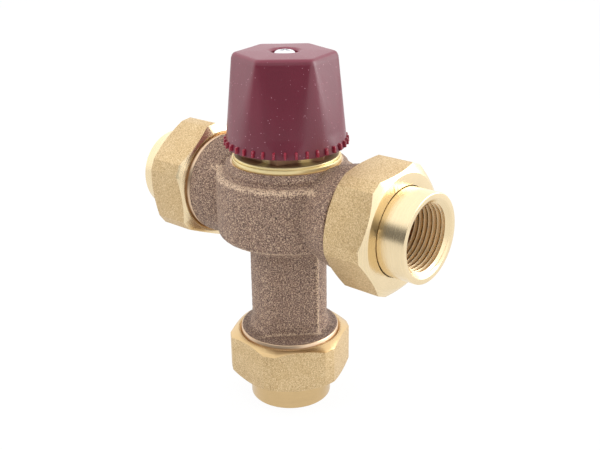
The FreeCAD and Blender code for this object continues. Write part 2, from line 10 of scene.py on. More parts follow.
import bpy
from bpy.props import FloatProperty, FloatVectorProperty, IntProperty, PointerProperty
from mathutils import Matrix, Vector


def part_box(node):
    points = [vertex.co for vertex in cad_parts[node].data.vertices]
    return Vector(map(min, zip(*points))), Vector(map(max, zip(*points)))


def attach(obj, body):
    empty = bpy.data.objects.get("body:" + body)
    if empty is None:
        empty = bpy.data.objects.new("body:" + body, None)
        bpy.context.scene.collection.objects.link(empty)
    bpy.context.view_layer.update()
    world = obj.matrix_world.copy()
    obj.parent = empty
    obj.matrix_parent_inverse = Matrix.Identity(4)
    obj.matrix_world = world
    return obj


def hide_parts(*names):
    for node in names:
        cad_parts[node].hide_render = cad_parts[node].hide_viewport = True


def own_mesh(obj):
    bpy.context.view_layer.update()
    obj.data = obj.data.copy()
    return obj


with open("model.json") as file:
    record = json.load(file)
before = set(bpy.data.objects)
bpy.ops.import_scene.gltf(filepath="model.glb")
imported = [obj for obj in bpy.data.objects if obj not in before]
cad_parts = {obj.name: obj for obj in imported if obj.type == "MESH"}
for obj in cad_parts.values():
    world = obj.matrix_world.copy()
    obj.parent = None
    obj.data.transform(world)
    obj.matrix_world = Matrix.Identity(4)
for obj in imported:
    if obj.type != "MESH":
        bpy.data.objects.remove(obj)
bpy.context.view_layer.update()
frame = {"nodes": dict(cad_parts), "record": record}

bl_info = {
    "name": "Mixing Valve",
    "version": (1, 0, 0),
    "blender": (4, 5, 0),
    "location": "3D View > Sidebar > Mixing Valve",
    "description": "Builds the visible pieces of a mixing valve with union ends",
    "category": "Add Mesh",
}

MM = 0.001
ROUND_STEPS = 4
# Scales that turn noise into fine rings round an axis.
RINGS_ROUND_Z = (60, 60, 6000)
RINGS_ROUND_X = (6000, 60, 60)
PORT_HEIGHT = sum(corner.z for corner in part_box("cold_tailpiece")) / 2
OUTLET_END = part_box("outlet_tailpiece")[0].z
INLET_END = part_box("cold_tailpiece")[1].x
PORTS = {
    "outlet": Matrix.Translation((0, 0, OUTLET_END)),
    "cold": Matrix.Translation((INLET_END, 0, PORT_HEIGHT)) @ Matrix.Rotation(radians(-90), 4, "Y"),
    "hot": Matrix.Translation((-INLET_END, 0, PORT_HEIGHT)) @ Matrix.Rotation(radians(90), 4, "Y"),
}


def length(name, value, description):
    """A size property, given in millimetres and held in metres."""
    return FloatProperty(name=name, default=value * MM, unit="LENGTH", precision=5,
                         description=description)


def turn(name, value, description):
    """An angle property, given in degrees and held in radians."""
    return FloatProperty(name=name, default=radians(value), subtype="ANGLE",
                         description=description)


def colour(name, value, description):
    """A colour property, given as red, green and blue from 0 to 255 on a screen."""
    linear = [((part / 255 + 0.055) / 1.055) ** 2.4 for part in value]
    return FloatVectorProperty(name=name, default=linear, size=3, subtype="COLOR", min=0, max=1,
                               description=description)


# ---- Sizes, finishes and studio settings ----

class StudioSettings(bpy.types.PropertyGroup):
    azimuth: turn("Azimuth", 40.635, "Turn of the camera round the valve from the front")
    elevation: turn("Elevation", 21.574, "Height of the camera above the horizon")
    roll: turn("Roll", -0.793, "Turn of the camera about its own axis")
    distance: length("Distance", 330.1, "From the camera to the point it aims at")
    aim: FloatVectorProperty(name="Aim", default=(0.00579, 0.00024, 0.07252), size=3,
                             subtype="TRANSLATION", description="Point that the camera aims at")
    lens: FloatProperty(name="Lens", default=52.82,
                        description="Focal length in millimetres on a 36 mm sensor")
    floor_size: length("Floor size", 4000, "Side of the square floor")
    floor_gap: length("Floor gap", 0.02, "Gap between the floor and the lowest end")
    floor_glow: FloatProperty(name="Floor glow", default=1.03,
                              description="Strength of the floor's own white")
    floor_shade: FloatProperty(name="Floor shade", default=0.10,
                               description="Share of the floor that takes the valve's shadow")
    surround: FloatProperty(name="Surround", default=0.92,
                            description="Strength of the light from all round")
    glare: FloatProperty(name="Glare", default=1.40,
                         description="Strength of the surround in shiny surfaces")
    dark_side: FloatProperty(name="Dark side", default=0.12,
                             description="Share of the glare left in the dark patch")
    dark_azimuth: turn("Dark azimuth", 10.0, "Direction of the dark patch from the front")
    dark_height: FloatProperty(name="Dark height", default=0.52,
                               description="Rise of the dark patch's upper edge, 1 at the zenith")
    key_power: FloatProperty(name="Key light", default=2.0, subtype="POWER",
                             description="Power of the large lamp above on the left")
    key_size: length("Key size", 550, "Side of the lamp above on the left")
    key_place: FloatVectorProperty(name="Key place", default=(-0.30, -0.34, 0.52), size=3,
                                   subtype="TRANSLATION",
                                   description="Place of that lamp from the aim")
    side_power: FloatProperty(name="Side light", default=3.0, subtype="POWER",
                              description="Power of the large lamp on the right")
    side_size: length("Side size", 500, "Side of the lamp on the right")
    side_place: FloatVectorProperty(name="Side place", default=(0.44, 0.48, 0.24), size=3,
                                    subtype="TRANSLATION",
                                    description="Place of that lamp from the aim")


class UnionSizes(bpy.types.PropertyGroup):
    nut_outer: length("Nut outer face", 10.6, "From the end face to the nut")
    nut_length: length("Nut length", 17.8, "Length of the nut")
    nut_flats: length("Nut flats", 43.0, "Across the flats")
    nut_corners: length("Nut corners", 47.0, "Across the cut-off corners")
    nut_face_r: length("Nut face radius", 20.4, "Flat ring left by the cone on each end")
    nut_slope: FloatProperty(name="Nut cone", default=0.55, description="Fall of the end cones")
    nut_lip: length("Nut lip", 4.0, "Thickness of the lip that holds the tailpiece")
    nut_edge: length("Nut edge", 0.22, "Bevel along the edges of the nut")
    thread_r: length("Union thread radius", 19.15, "Bore of the nut's threaded end")
    tail_r: length("Tailpiece radius", 15.9, "Outer radius of the tailpiece")
    tail_fit: length("Tailpiece fit", 0.3, "Gap between the tailpiece and the nut's lip")
    tail_end_round: length("Tailpiece end round", 0.45, "Round of the tailpiece's outer end")
    tail_edge_round: length("Tailpiece edge round", 0.2, "Round of its other edges")
    tail_flange_r: length("Tailpiece flange radius", 18.2, "Flange held inside the nut")
    tail_flange: length("Tailpiece flange", 2.6, "Thickness of the flange")
    pipe_r: length("Pipe thread radius", 11.83, "Radius at the crests of the pipe thread")
    pipe_root_r: length("Pipe thread root radius", 13.28, "Radius at the roots of the thread")
    pitch: length("Pipe thread pitch", 1.814, "Distance between two turns of the thread")
    thread_length: length("Pipe thread length", 15.2, "Depth of the cut thread")
    groove: FloatProperty(name="Groove width", default=0.88,
                          description="Width of the thread's groove, as a share of the pitch")
    mouth_r: length("Mouth radius", 13.9, "Outer radius of the countersink at the end")
    mouth_depth: length("Mouth depth", 1.6, "Depth of the countersink")
    hot_turn: turn("Hot nut", 7.0, "Direction of one corner of the hot nut")
    cold_turn: turn("Cold nut", 23.6, "Direction of one corner of the cold nut")
    outlet_turn: turn("Outlet nut", -9.0, "Direction of one corner of the outlet nut")


class CastingSizes(bpy.types.PropertyGroup):
    """Heights are measured from the axis of the inlets."""
    grain: length("Grain", 0.30, "Height of the sand-cast roughness")
    skin: length("Skin", 0.52, "Fineness of the casting's mesh")
    barrel_r: length("Barrel radius", 26.6, "Radius of the barrel")
    barrel_top: length("Barrel top", 11.6, "Height of the barrel's upper edge")
    barrel_bottom: length("Barrel bottom", -12.2, "Height of the barrel's lower edge")
    collar_r: length("Collar radius", 22.6, "Radius of the collar under the bonnet")
    seat_r: length("Seat radius", 19.9, "Outer radius of the machined seat")
    seat: length("Seat height", 15.9, "Height of the machined seat of the bonnet")
    neck_r: length("Outlet neck radius", 14.6, "Radius of the neck below the barrel")
    land: length("Machined land", 1.2, "Bare land between each nut and the rough casting")
    spigot_r: length("Spigot radius", 19.1, "Radius of the threaded ends of the casting")
    inlet_r: length("Inlet neck radius", 19.4, "Widest radius of each inlet neck")
    shoulder_r: length("Inlet shoulder radius", 17.4, "Radius of the neck nearer the barrel")
    draft: length("Draft", 0.3, "Taper of the cast walls towards their edges")
    setback: length("Skin set-back", 0.3, "How far the skin stays inside the outlet's rim")
    fillet: length("Outlet fillet", 5.6, "Height of the fillet between the barrel and the neck")
    pad_apothem: length("Pad", 12.4, "Distance of the neck's flat pad from the axis")
    pad_facing: turn("Pad facing", -45.0, "Direction that the pad faces")
    parting: turn("Parting line", -3.5, "Direction of the parting line on the outlet neck")
    ridge: length("Parting ridge", 1.0, "Height of the ridge along the parting line")
    waterway_r: length("Waterway radius", 9.5, "Radius of the bores")
    bore_start: length("Bore start", 24.6, "Distance of each inlet bore's inner end from the axis")
    chamber_r: length("Chamber radius", 21.0, "Radius of the rings round the shuttle")
    chamber: length("Chamber height", 9.4, "Height of the rings' far sides")
    web: length("Web", 3.0, "Half the thickness of the web between the rings")
    guide_r: length("Guide radius", 12.45, "Radius of the shuttle's guide")
    port_r: length("Port radius", 13.9, "Distance of the inner end of each port from the axis")
    port_side: length("Port side", 7.5, "Half the width of each port")
    port_far: length("Port height", 8.0, "Height of each port's far side")
    hot_seat_r: length("Hot seat radius", 13.6, "Radius of the recess over the hot seat")
    hot_seat: length("Hot seat", -8.25, "Height of the hot seat")
    mixing_r: length("Mixing bore radius", 10.7, "Radius of the bore round the element")
    spring_ledge: length("Spring ledge", -25.0, "Height of the return spring's ledge")
    seal_r: length("Seal recess radius", 18.1, "Radius of the bonnet seal's recess")
    seal_depth: length("Seal recess depth", 1.5, "Depth of the bonnet seal's recess")
    thread_r: length("Bonnet thread radius", 16.5, "Radius of the thread of the bonnet")


class BonnetSizes(bpy.types.PropertyGroup):
    rim_r: length("Rim radius", 20.2, "Radius of the lower rim")
    rim: length("Rim height", 1.7, "Height of the lower rim")
    step_r: length("Step radius", 19.5, "Radius of the step above the rim")
    step: length("Step height", 0.8, "Height of the step above the rim")
    wrench_flats: length("Wrench flats", 30.0, "Across the hexagon under the cap")
    wrench_top: length("Wrench top", 26.5, "Height of the hexagon above the inlet axis")
    tower_r: length("Tower radius", 12.0, "Radius of the tower inside the cap")
    neck_r: length("Neck radius", 8.0, "Radius of the neck round the spindle")
    slide_flats: length("Slide flats", 17.0, "Across the hexagonal bore")
    entry_r: length("Entry radius", 10.2, "Radius of the bore's mouth")
    entry_top: length("Entry top", 11.0, "Top of the bore's mouth above the inlet axis")
    spindle_r: length("Spindle bore radius", 5.05, "Radius of the bore for the spindle")
    seal_rise: length("Seal rise", 2.6, "From the tower's top up to the spindle seal")
    slide_roof: length("Slide roof", 3.0, "Metal between the hexagonal bore and the tower's top")


class CapSizes(bpy.types.PropertyGroup):
    skirt_r: length("Skirt radius", 22.2, "Radius at the foot")
    top_r: length("Top radius", 18.8, "Radius at the corners of the top")
    flats: length("Flats", 33.0, "Across the flats at the top")
    band: length("Foot band", 1.0, "Plain band below the ends of the flats")
    edge: length("Top round", 1.7, "Radius of the round along the top edge")
    crown: length("Crown", 0.4, "Rise of the top towards its middle")
    softness: length("Softness", 0.30, "Softness of the flats' edges at the top")
    wall: length("Wall", 2.2, "Thickness of the wall")
    roof: length("Roof", 2.6, "Thickness of the roof")
    hub_r: length("Hub radius", 7.2, "Radius of the hub inside")
    hub_rise: length("Hub rise", 1.2, "Gap between the hub and the spindle's clip")
    socket_r: length("Socket radius", 4.75, "Radius of the hub's socket for the spindle")
    socket_roof: length("Socket roof", 2.4, "Plastic between the recess and the socket")
    screw_hole_r: length("Screw hole radius", 2.3, "Radius of the hole for the screw")
    turned: turn("Turned", 41.2, "Direction of one corner")
    ribs: IntProperty(name="Ribs", default=36, description="Grip ribs round the foot")
    rib_width: length("Rib width", 0.85, "Width of each rib")
    rib_height: length("Rib height", 2.6, "Height of each rib")
    rib_proud: length("Rib proud", 0.8, "How far each rib stands out")
    rib_foot: length("Rib foot", 0.3, "Height of the ribs' lower ends above the foot")
    recess_r: length("Screw recess radius", 4.9, "Radius of the recess in the top")
    recess_depth: length("Screw recess depth", 1.6, "Depth of the recess in the top")
    recess_edge: length("Screw recess edge", 0.35, "Bevel round the recess")
    screw_r: length("Screw head radius", 4.15, "Radius of the screw's head")
    screw_height: length("Screw head height", 2.2, "Height of the screw's head")
    shank_r: length("Screw shank radius", 2.0, "Radius of the screw's shank")
    cross_span: length("Cross span", 4.4, "Length of each slot of the cross recess")
    cross_width: length("Cross width", 1.0, "Width of each slot of the cross recess")
    cross_depth: length("Cross depth", 1.1, "Depth of the cross recess below the dome")


class Finishes(bpy.types.PropertyGroup):
    bronze: colour("Bronze", (138, 112, 99), "Cast skin of the body")
    bronze_warm: colour("Warm bronze", (150, 118, 98), "Warmer stretches of the cast skin")
    # This pit colour also paints the shade just above the outlet nut.
    bronze_pits_and_shade: colour("Bronze pits", (78, 60, 52), "Pits of the cast skin")
    bronze_light: colour("Bronze grains", (222, 194, 164), "Worn grains of the cast skin")
    brass: colour("Blasted brass", (208, 179, 132), "Blasted flats of the nuts")
    brass_shade: colour("Brass shade", (158, 126, 84), "Dimples of the blasted flats")
    bright_brass: colour("Bright brass", (241, 220, 180), "Turned and polished brass")
    yellow_brass: colour("Yellow brass", (246, 228, 172), "Turned bonnet and inner pieces")
    # Painted shadow: the dark brown of the bonnet under the cap, where the cap's shadow falls.
    cap_shadow_tone: colour("Cap_shadow", (140, 92, 68), "Shadowed brass under the cap")
    # Painted shade: darker than the bright brass, standing for the darker surroundings that the
    # outlet's union reflects.
    shaded_outlet_brass: colour("Satin brass", (212, 182, 134), "Turned brass of the outlet's union")
    # Painted light: a near-white thread tone, standing for light bouncing inside the bore.
    thread: colour("Thread", (252, 230, 190), "Cut pipe thread")
    cap: colour("Cap", (106, 27, 48), "Moulded cap")
    # Painted light: the paler top stands for the extra light that falls on the cap from above.
    cap_lit_top: colour("Cap top", (124, 36, 60), "Paler top of the cap")
    cap_rib: colour("Cap ribs", (140, 22, 46), "Ribs at the foot of the cap")
    dust: colour("Dust", (206, 150, 164), "Pale specks on the plastic")
    rubber: colour("Rubber", (28, 28, 30), "Seal rings")
    fibre: colour("Fibre", (120, 88, 62), "Gaskets")
    steel: colour("Steel", (206, 206, 210), "Springs, clips and the screw")
    copper: colour("Copper", (206, 136, 98), "Temperature element")


# ---- Shader maths ----

class Value:
    """A number or colour in a node tree, which takes part in Python expressions."""

    def __init__(self, shading, socket):
        self.shading = shading
        self.socket = socket

    def maths(self, operation, *others):
        """Math node with this value in its first socket."""
        return self.shading.node("ShaderNodeMath", {"operation": operation}, (self, *others))

    def reflected(self, operation, other):
        """Math node with this value in its second socket."""
        return self.shading.node("ShaderNodeMath", {"operation": operation}, (other, self))

    def __add__(self, other):
        return self.maths("ADD", other)

    def __sub__(self, other):
        return self.maths("SUBTRACT", other)

    def __rsub__(self, other):
        return self.reflected("SUBTRACT", other)

    def __mul__(self, other):
        return self.maths("MULTIPLY", other)

    def __pow__(self, other):
        return self.maths("POWER", other)

    def __rpow__(self, other):
        return self.reflected("POWER", other)

    __radd__ = __add__
    __rmul__ = __mul__

    def larger(self, other):
        """Whichever of the two is larger."""
        return self.maths("MAXIMUM", other)

    def between(self, low, high):
        """0 at low, 1 at high, and smooth between."""
        settings = {"clamp": True, "interpolation_type": "SMOOTHSTEP"}
        inputs = {"Value": self, "From Min": low, "From Max": high}
        return self.shading.node("ShaderNodeMapRange", settings, inputs, "Result")

    def near(self, centre, reach):
        """1 at centre, fading to 0 at the given reach to either side."""
        return (self - centre).maths("ABSOLUTE").between(reach, 0.25 * reach)


class Shading:
    """A node tree, built up from values."""

    def __init__(self, tree):
        self.tree = tree

    def node(self, kind, settings, inputs, output=0):
        """Add a node: its settings first, then the values or links of its sockets."""
        made = self.tree.nodes.new(kind)
        for key, value in settings.items():
            setattr(made, key, value)
        pairs = inputs.items() if isinstance(inputs, dict) else enumerate(inputs)
        for key, value in pairs:
            self.put(made.inputs[key], value)
        return Value(self, made.outputs[output])

    def put(self, socket, value):
        """Link a value to a socket, or set the socket to a plain number or colour."""
        if isinstance(value, Value):
            self.tree.links.new(value.socket, socket)
        elif socket.type == "RGBA":
            socket.default_value = (*value, 1.0)
        else:
            socket.default_value = value

    def ray(self, kind):
        """1 for Camera, Glossy or Transmission rays and 0 for the others."""
        return self.node("ShaderNodeLightPath", {}, {}, f"Is {kind} Ray")


class Finish(Shading):
    """A procedural material on Object coordinates."""

    def __init__(self, name):
        self.data = bpy.data.materials.new(name)
        self.data.use_nodes = True
        super().__init__(self.data.node_tree)
        self.shader = self.tree.nodes["Principled BSDF"]
        self.place = self.node("ShaderNodeTexCoord", {}, {}, "Object")

    def axis(self, letter):
        return self.node("ShaderNodeSeparateXYZ", {}, [self.place], letter)

    def along(self, direction):
        """Distance of the surface along a direction."""
        return self.node("ShaderNodeVectorMath", {"operation": "DOT_PRODUCT"},
                         [self.place, direction], "Value")

    def stretched(self, scale):
        """Object coordinates scaled by a different amount along each axis."""
        return self.node("ShaderNodeVectorMath", {"operation": "MULTIPLY"}, [self.place, scale])

    def noise(self, size, detail=2.0, roughness=0.5, vector=None):
        """Noise whose features are about size metres across."""
        inputs = {"Vector": vector or self.place, "Scale": 1 / size, "Detail": detail,
                  "Roughness": roughness}
        return self.node("ShaderNodeTexNoise", {}, inputs, "Fac")

    def cells(self, size):
        """Distance to the nearest of scattered points about size metres apart."""
        inputs = {"Vector": self.place, "Scale": 1 / size}
        return self.node("ShaderNodeTexVoronoi", {}, inputs, "Distance")

    def mix(self, factor, first, second):
        inputs = {0: factor, 6: first, 7: second}
        return self.node("ShaderNodeMix", {"data_type": "RGBA"}, inputs, 2)

    def bump(self, height, distance):
        return self.node("ShaderNodeBump", {}, {"Height": height, "Distance": distance}, "Normal")

    def surface(self, **inputs):
        """Feed the shader: Base_Color=..., Roughness=..., and so on."""
        for key, value in inputs.items():
            self.put(self.shader.inputs[key.replace("_", " ")], value)
        return self.data


# ---- Finishes ----

def cast_bronze(tones, casting):
    """Sand-cast skin: pale worn grains on brown, dark pits, paler rims and parting line, and
    painted light and shade at the outlet neck's foot.
    """
    made = Finish("sand_cast_bronze")
    clumps = made.noise(3.2 * MM, 3.0, 0.6)
    grains = made.noise(0.46 * MM, 2.0, 0.7)
    pits = made.cells(1.3 * MM)
    height = made.axis("Z") - PORT_HEIGHT
    side = made.axis("X")
    depth = made.axis("Y")
    across = (side * side + depth * depth) ** 0.5
    outside = across.between(casting.collar_r + 0.5 * MM, casting.collar_r + 2.0 * MM)
    outside = outside * across.between(casting.barrel_r + 4.5 * MM, casting.barrel_r + 0.4 * MM)
    rims = height.near(casting.barrel_top - 0.3 * MM, 1.5 * MM) * outside
    rims = rims + height.near(casting.barrel_bottom + 0.3 * MM, 1.0 * MM) * outside * 0.7
    below = height.between(casting.barrel_bottom - 4.0 * MM, casting.barrel_bottom - 7.0 * MM)
    beside = (-sin(casting.parting), cos(casting.parting), 0)
    parting = made.along(beside).near(0, 1.1 * MM) * below * across.between(17.5 * MM, 16.0 * MM)
    facing = (cos(casting.pad_facing), sin(casting.pad_facing), 0)
    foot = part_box("outlet_union_nut")[1].z + casting.land - PORT_HEIGHT
    # Painted highlight: a pale line along the top edge of the neck's ledge, where light catches it.
    ledge = height.near(foot + 1.3 * MM, 0.7 * MM)
    ledge = ledge * made.along(facing).near(casting.pad_apothem + 0.3 * MM, 0.9 * MM)
    # worn holds real wear on the rims and parting line, plus the painted highlight along the ledge.
    worn = (rims + parting + ledge) * clumps.between(0.25, 0.50)
    pale = grains.between(0.53 - 0.10 * worn, 0.60 - 0.07 * worn)
    dark = grains.between(0.46, 0.36) * (1 - 0.6 * worn)
    pitted = pits.between(0.34, 0.10) * clumps.between(0.50, 0.62)
    tone = made.mix(clumps.between(0.35, 0.65) * 0.35, tones.bronze, tones.bronze_warm)
    tone = made.mix(dark, tone, tones.bronze_pits_and_shade)
    tone = made.mix(pitted * 0.60, tone, tones.bronze_pits_and_shade)
    tone = made.mix(pale * (0.72 + 0.24 * worn), tone, tones.bronze_light)
    # Painted shade: darker towards the foot of the neck, in the crease just above the outlet nut.
    low = height.between(foot + 2.4 * MM, foot + 0.8 * MM)
    tone = made.mix(low * 0.42, tone, tones.bronze_pits_and_shade)
    relief = grains * 0.7 + clumps * 0.4 + pits * 0.3
    return made.surface(Base_Color=tone, Metallic=0.25, Roughness=0.62 - 0.14 * pale,
                        Normal=made.bump(relief, 0.60 * MM))


def blasted_brass(tones):
    """Fine shot-blasted brass with a close speckle."""
    made = Finish("blasted_brass")
    mottle = made.noise(6.0 * MM, 2.0, 0.5)
    peened = made.noise(0.45 * MM, 3.0, 0.7)
    tone = made.mix(mottle.between(0.35, 0.65) * 0.12, tones.brass, tones.bright_brass)
    tone = made.mix(peened.between(0.49, 0.38) * 0.62, tone, tones.brass_shade)
    tone = made.mix(peened.between(0.52, 0.62) * 0.62, tone, tones.bright_brass)
    return made.surface(Base_Color=tone, Metallic=0.70, Roughness=0.52 - 0.08 * peened,
                        Normal=made.bump(peened, 0.14 * MM))


def turned_brass(name, tone, soft, rings_round, metallic=1.0):
    """Turned metal with fine rings; rings_round scales the noise that draws them."""
    made = Finish(name)
    rings = made.noise(1.0, 2.0, 0.6, made.stretched(rings_round))
    patches = made.noise(7.0 * MM, 2.0, 0.5)
    dull = tuple(part * 0.78 for part in tone)
    blend = rings.between(0.30, 0.70) * 0.28 + patches.between(0.40, 0.70) * 0.16
    return made.surface(Base_Color=made.mix(blend, tone, dull), Metallic=metallic,
                        Roughness=soft + rings * 0.10, Normal=made.bump(rings, 0.03 * MM))


def bonnet_brass(tones, shoulder):
    """Turned brass with a painted shadow of the cap above the shoulder, and two painted lamp
    reflections in it.
    """
    made = Finish("bonnet_brass")
    rings = made.noise(1.0, 2.0, 0.6, made.stretched(RINGS_ROUND_Z))
    stain = made.noise(2.4 * MM, 3.0, 0.6)
    above = made.axis("Z").between(shoulder - 0.15 * MM, shoulder + 0.15 * MM)
    around = made.node("ShaderNodeMath", {"operation": "ARCTAN2"}, [made.axis("Y"), made.axis("X")])
    # Painted reflections: two brighter patches round the bonnet, where the lamps show in the turned
    # brass.
    lamp_reflections = around.near(radians(-77), radians(9)) + around.near(radians(-23), radians(13))
    # Painted shadow of the cap above the shoulder, mottled a little and broken by the painted lamp
    # reflections.
    shadow_under_cap = above * (1 - 0.85 * lamp_reflections) * (0.80 + 0.20 * stain)
    tone = made.mix(rings.between(0.30, 0.70) * 0.25, tones.yellow_brass, tones.brass)
    tone = made.mix(shadow_under_cap, tone, tones.cap_shadow_tone)
    return made.surface(Base_Color=tone, Metallic=0.70 - 0.4 * shadow_under_cap,
                        Roughness=0.30 + 0.15 * shadow_under_cap + 0.08 * rings,
                        Normal=made.bump(rings, 0.03 * MM))


def moulded_plastic(tones, top):
    """Satin moulded plastic: faint flow marks, a few pale dust specks and a painted paler top where
    more light falls.
    """
    made = Finish("moulded_plastic")
    flow = made.noise(9.0 * MM, 2.0, 0.5, made.stretched((1.0, 1.0, 0.35)))
    grain = made.noise(0.5 * MM, 2.0, 0.5)
    specks = made.cells(1.3 * MM).between(0.150, 0.080)
    chosen = made.noise(1.7 * MM).between(0.50, 0.53)
    dark = tuple(part * 0.82 for part in tones.cap)
    tone = made.mix(flow.between(0.35, 0.65) * 0.6, tones.cap, dark)
    # Painted light: the top is paler where more light falls from above.
    crown = made.axis("Z").between(top - 1.4 * MM, top - 0.2 * MM)
    tone = made.mix(crown * 0.7, tone, tones.cap_lit_top)
    tone = made.mix(specks * chosen * 0.75, tone, tones.dust)
    rough = 0.26 + grain * 0.08 + crown * 0.08
    return made.surface(Base_Color=tone, Roughness=rough, Specular_IOR_Level=0.62,
                        Normal=made.bump(grain, 0.04 * MM))


def rib_plastic(tones):
    """The same plastic on the grip ribs, more worn and saturated."""
    made = Finish("rib_plastic")
    grain = made.noise(0.8 * MM, 2.0, 0.5)
    tone = made.mix(grain.between(0.52, 0.72) * 0.35, tones.cap_rib, tones.dust)
    return made.surface(Base_Color=tone, Roughness=0.34 + grain * 0.1,
                        Normal=made.bump(grain, 0.04 * MM))


def drawn_steel(name, tone, soft):
    """Bright steel with a slight drawn or plated cloudiness."""
    made = Finish(name)
    cloud = made.noise(1.6 * MM, 3.0, 0.6)
    dull = tuple(part * 0.72 for part in tone)
    return made.surface(Base_Color=made.mix(cloud.between(0.35, 0.70), tone, dull),
                        Metallic=1.0, Roughness=soft + cloud * 0.12,
                        Normal=made.bump(cloud, 0.02 * MM))


def soft_ring(name, tone, speck, size):
    """Rubber or pressed fibre, with a fine mottle."""
    made = Finish(name)
    fleck = made.noise(size, 3.0, 0.6)
    return made.surface(Base_Color=made.mix(fleck.between(0.45, 0.68), tone, speck),
                        Roughness=0.62 + fleck * 0.2, Normal=made.bump(fleck, 0.05 * MM))


# ---- Modelling helpers ----

def settle():
    """Back to object mode with nothing selected."""
    if bpy.context.mode != "OBJECT":
        bpy.ops.object.mode_set(mode="OBJECT")
    bpy.ops.object.select_all(action="DESELECT")


def activate(piece):
    """Select one piece alone and make it the active one."""
    settle()
    piece.select_set(True)
    bpy.context.view_layer.objects.active = piece


def choose(piece, kind, test):
    """Enter edit mode with only the vertices, edges or faces selected that pass the test."""
    activate(piece)
    parts = {"VERT": piece.data.vertices, "EDGE": piece.data.edges, "FACE": piece.data.polygons}
    for group in parts.values():
        group.foreach_set("select", [False] * len(group))
    for part in parts[kind]:
        part.select = test(part)
    bpy.context.tool_settings.mesh_select_mode = [kind == key for key in parts]
    bpy.ops.object.mode_set(mode="EDIT")


def closed_up():
    """In edit mode, merge doubled vertices and point every face outwards."""
    bpy.ops.mesh.select_all(action="SELECT")
    bpy.ops.mesh.remove_doubles(threshold=MM / 1000)
    bpy.ops.mesh.normals_make_consistent(inside=False)
    bpy.ops.object.mode_set(mode="OBJECT")


def turned(name, profile, rounds=None, steps=128):
    """Turn a profile of (radius, height) corners about Z; one that ends on the axis stays open.

    rounds gives, for a distance, the corners that are rounded off by it.
    """
    settle()
    bpy.ops.mesh.primitive_plane_add(size=MM)
    piece = bpy.context.object
    piece.name = piece.data.name = name
    choose(piece, "VERT", lambda vertex: vertex.index > 0)
    bpy.ops.mesh.delete(type="VERT")
    bpy.ops.mesh.select_all(action="SELECT")
    radius, height = profile[0]
    bpy.ops.transform.translate(value=(radius + MM / 2, MM / 2, height))
    for (radius, height), (next_radius, next_height) in zip(profile, profile[1:]):
        move = {"value": (next_radius - radius, 0, next_height - height)}
        bpy.ops.mesh.extrude_vertices_move(TRANSFORM_OT_translate=move)
    if profile[0][0] > 0:
        ends = (0, len(profile) - 1)
        choose(piece, "VERT", lambda vertex: vertex.index in ends)
        bpy.ops.mesh.edge_face_add()
    for distance, corners in (rounds or {}).items():
        spots = [Vector((profile[corner][0], 0, profile[corner][1])) for corner in corners]
        choose(piece, "VERT", lambda vertex: any((vertex.co - spot).length < MM / 10000
                                             for spot in spots))
        bpy.ops.mesh.bevel(offset=distance, segments=ROUND_STEPS, affect="VERTICES")
    bpy.ops.mesh.select_all(action="SELECT")
    bpy.ops.mesh.spin(steps=steps, angle=2 * pi, center=(0, 0, 0), axis=(0, 0, 1))
    closed_up()
    return piece


def upright(piece):
    """Test for the edges of a piece that run along Z."""
    spots = piece.data.vertices

    def test(edge):
        first, second = (spots[index].co for index in edge.vertices)
        return (first - second).xy.length < MM / 1000

    return test


def hexagon(name, flats, bottom, top, turned_by):
    """Six-sided prism with one corner in the direction turned_by."""
    settle()
    bpy.ops.mesh.primitive_cylinder_add(
        vertices=6, radius=flats / sqrt(3), depth=top - bottom,
        location=(0, 0, (bottom + top) / 2), rotation=(0, 0, turned_by - radians(30)))
    piece = bpy.context.object
    piece.name = piece.data.name = name
    bpy.ops.object.transform_apply(location=True, rotation=True, scale=True)
    return piece


def block(name, low, high):
    """Box between its lowest and its highest corner."""
    settle()
    low, high = Vector(low), Vector(high)
    bpy.ops.mesh.primitive_cube_add(size=1, location=(low + high) / 2)
    piece = bpy.context.object
    piece.name = piece.data.name = name
    piece.scale = high - low
    bpy.ops.object.transform_apply(location=True, rotation=True, scale=True)
    return piece


def finish_with(piece, kind, **settings):
    """Add a modifier and apply it."""
    activate(piece)
    modifier = piece.modifiers.new(kind.title(), kind)
    for key, value in settings.items():
        setattr(modifier, key, value)
    bpy.ops.object.modifier_apply(modifier=modifier.name)


def combine(piece, other, operation):
    """Cut, join or intersect a piece with another, which is used up."""
    finish_with(piece, "BOOLEAN", object=other, operation=operation, solver="EXACT",
                material_mode="TRANSFER")
    bpy.data.objects.remove(other)


def join(first, *others):
    """Put other pieces into the first one's mesh as they are."""
    activate(first)
    for other in others:
        other.select_set(True)
    bpy.ops.object.join()
    return first


def carried(piece, matrix):
    """Put a piece where a matrix says, with its place in its mesh."""
    activate(piece)
    piece.matrix_world = matrix @ piece.matrix_world
    bpy.ops.object.transform_apply(location=True, rotation=True, scale=True)
    return piece


def twin(piece, name):
    """A copy with its own mesh."""
    copy = piece.copy()
    copy.data = piece.data.copy()
    copy.name = copy.data.name = name
    bpy.context.collection.objects.link(copy)
    return copy


def smoothed(piece, angle=35):
    """Shade smooth across edges flatter than an angle in degrees."""
    activate(piece)
    bpy.ops.object.shade_smooth_by_angle(angle=radians(angle))


def painted(piece, material):
    """Give a piece one material all over."""
    piece.data.materials.clear()
    piece.data.materials.append(material)
    return piece


def stands_for(piece, node, body):
    """Let a piece replace a solid and ride with its body."""
    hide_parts(node)
    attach(piece, body)


# ---- Operators ----

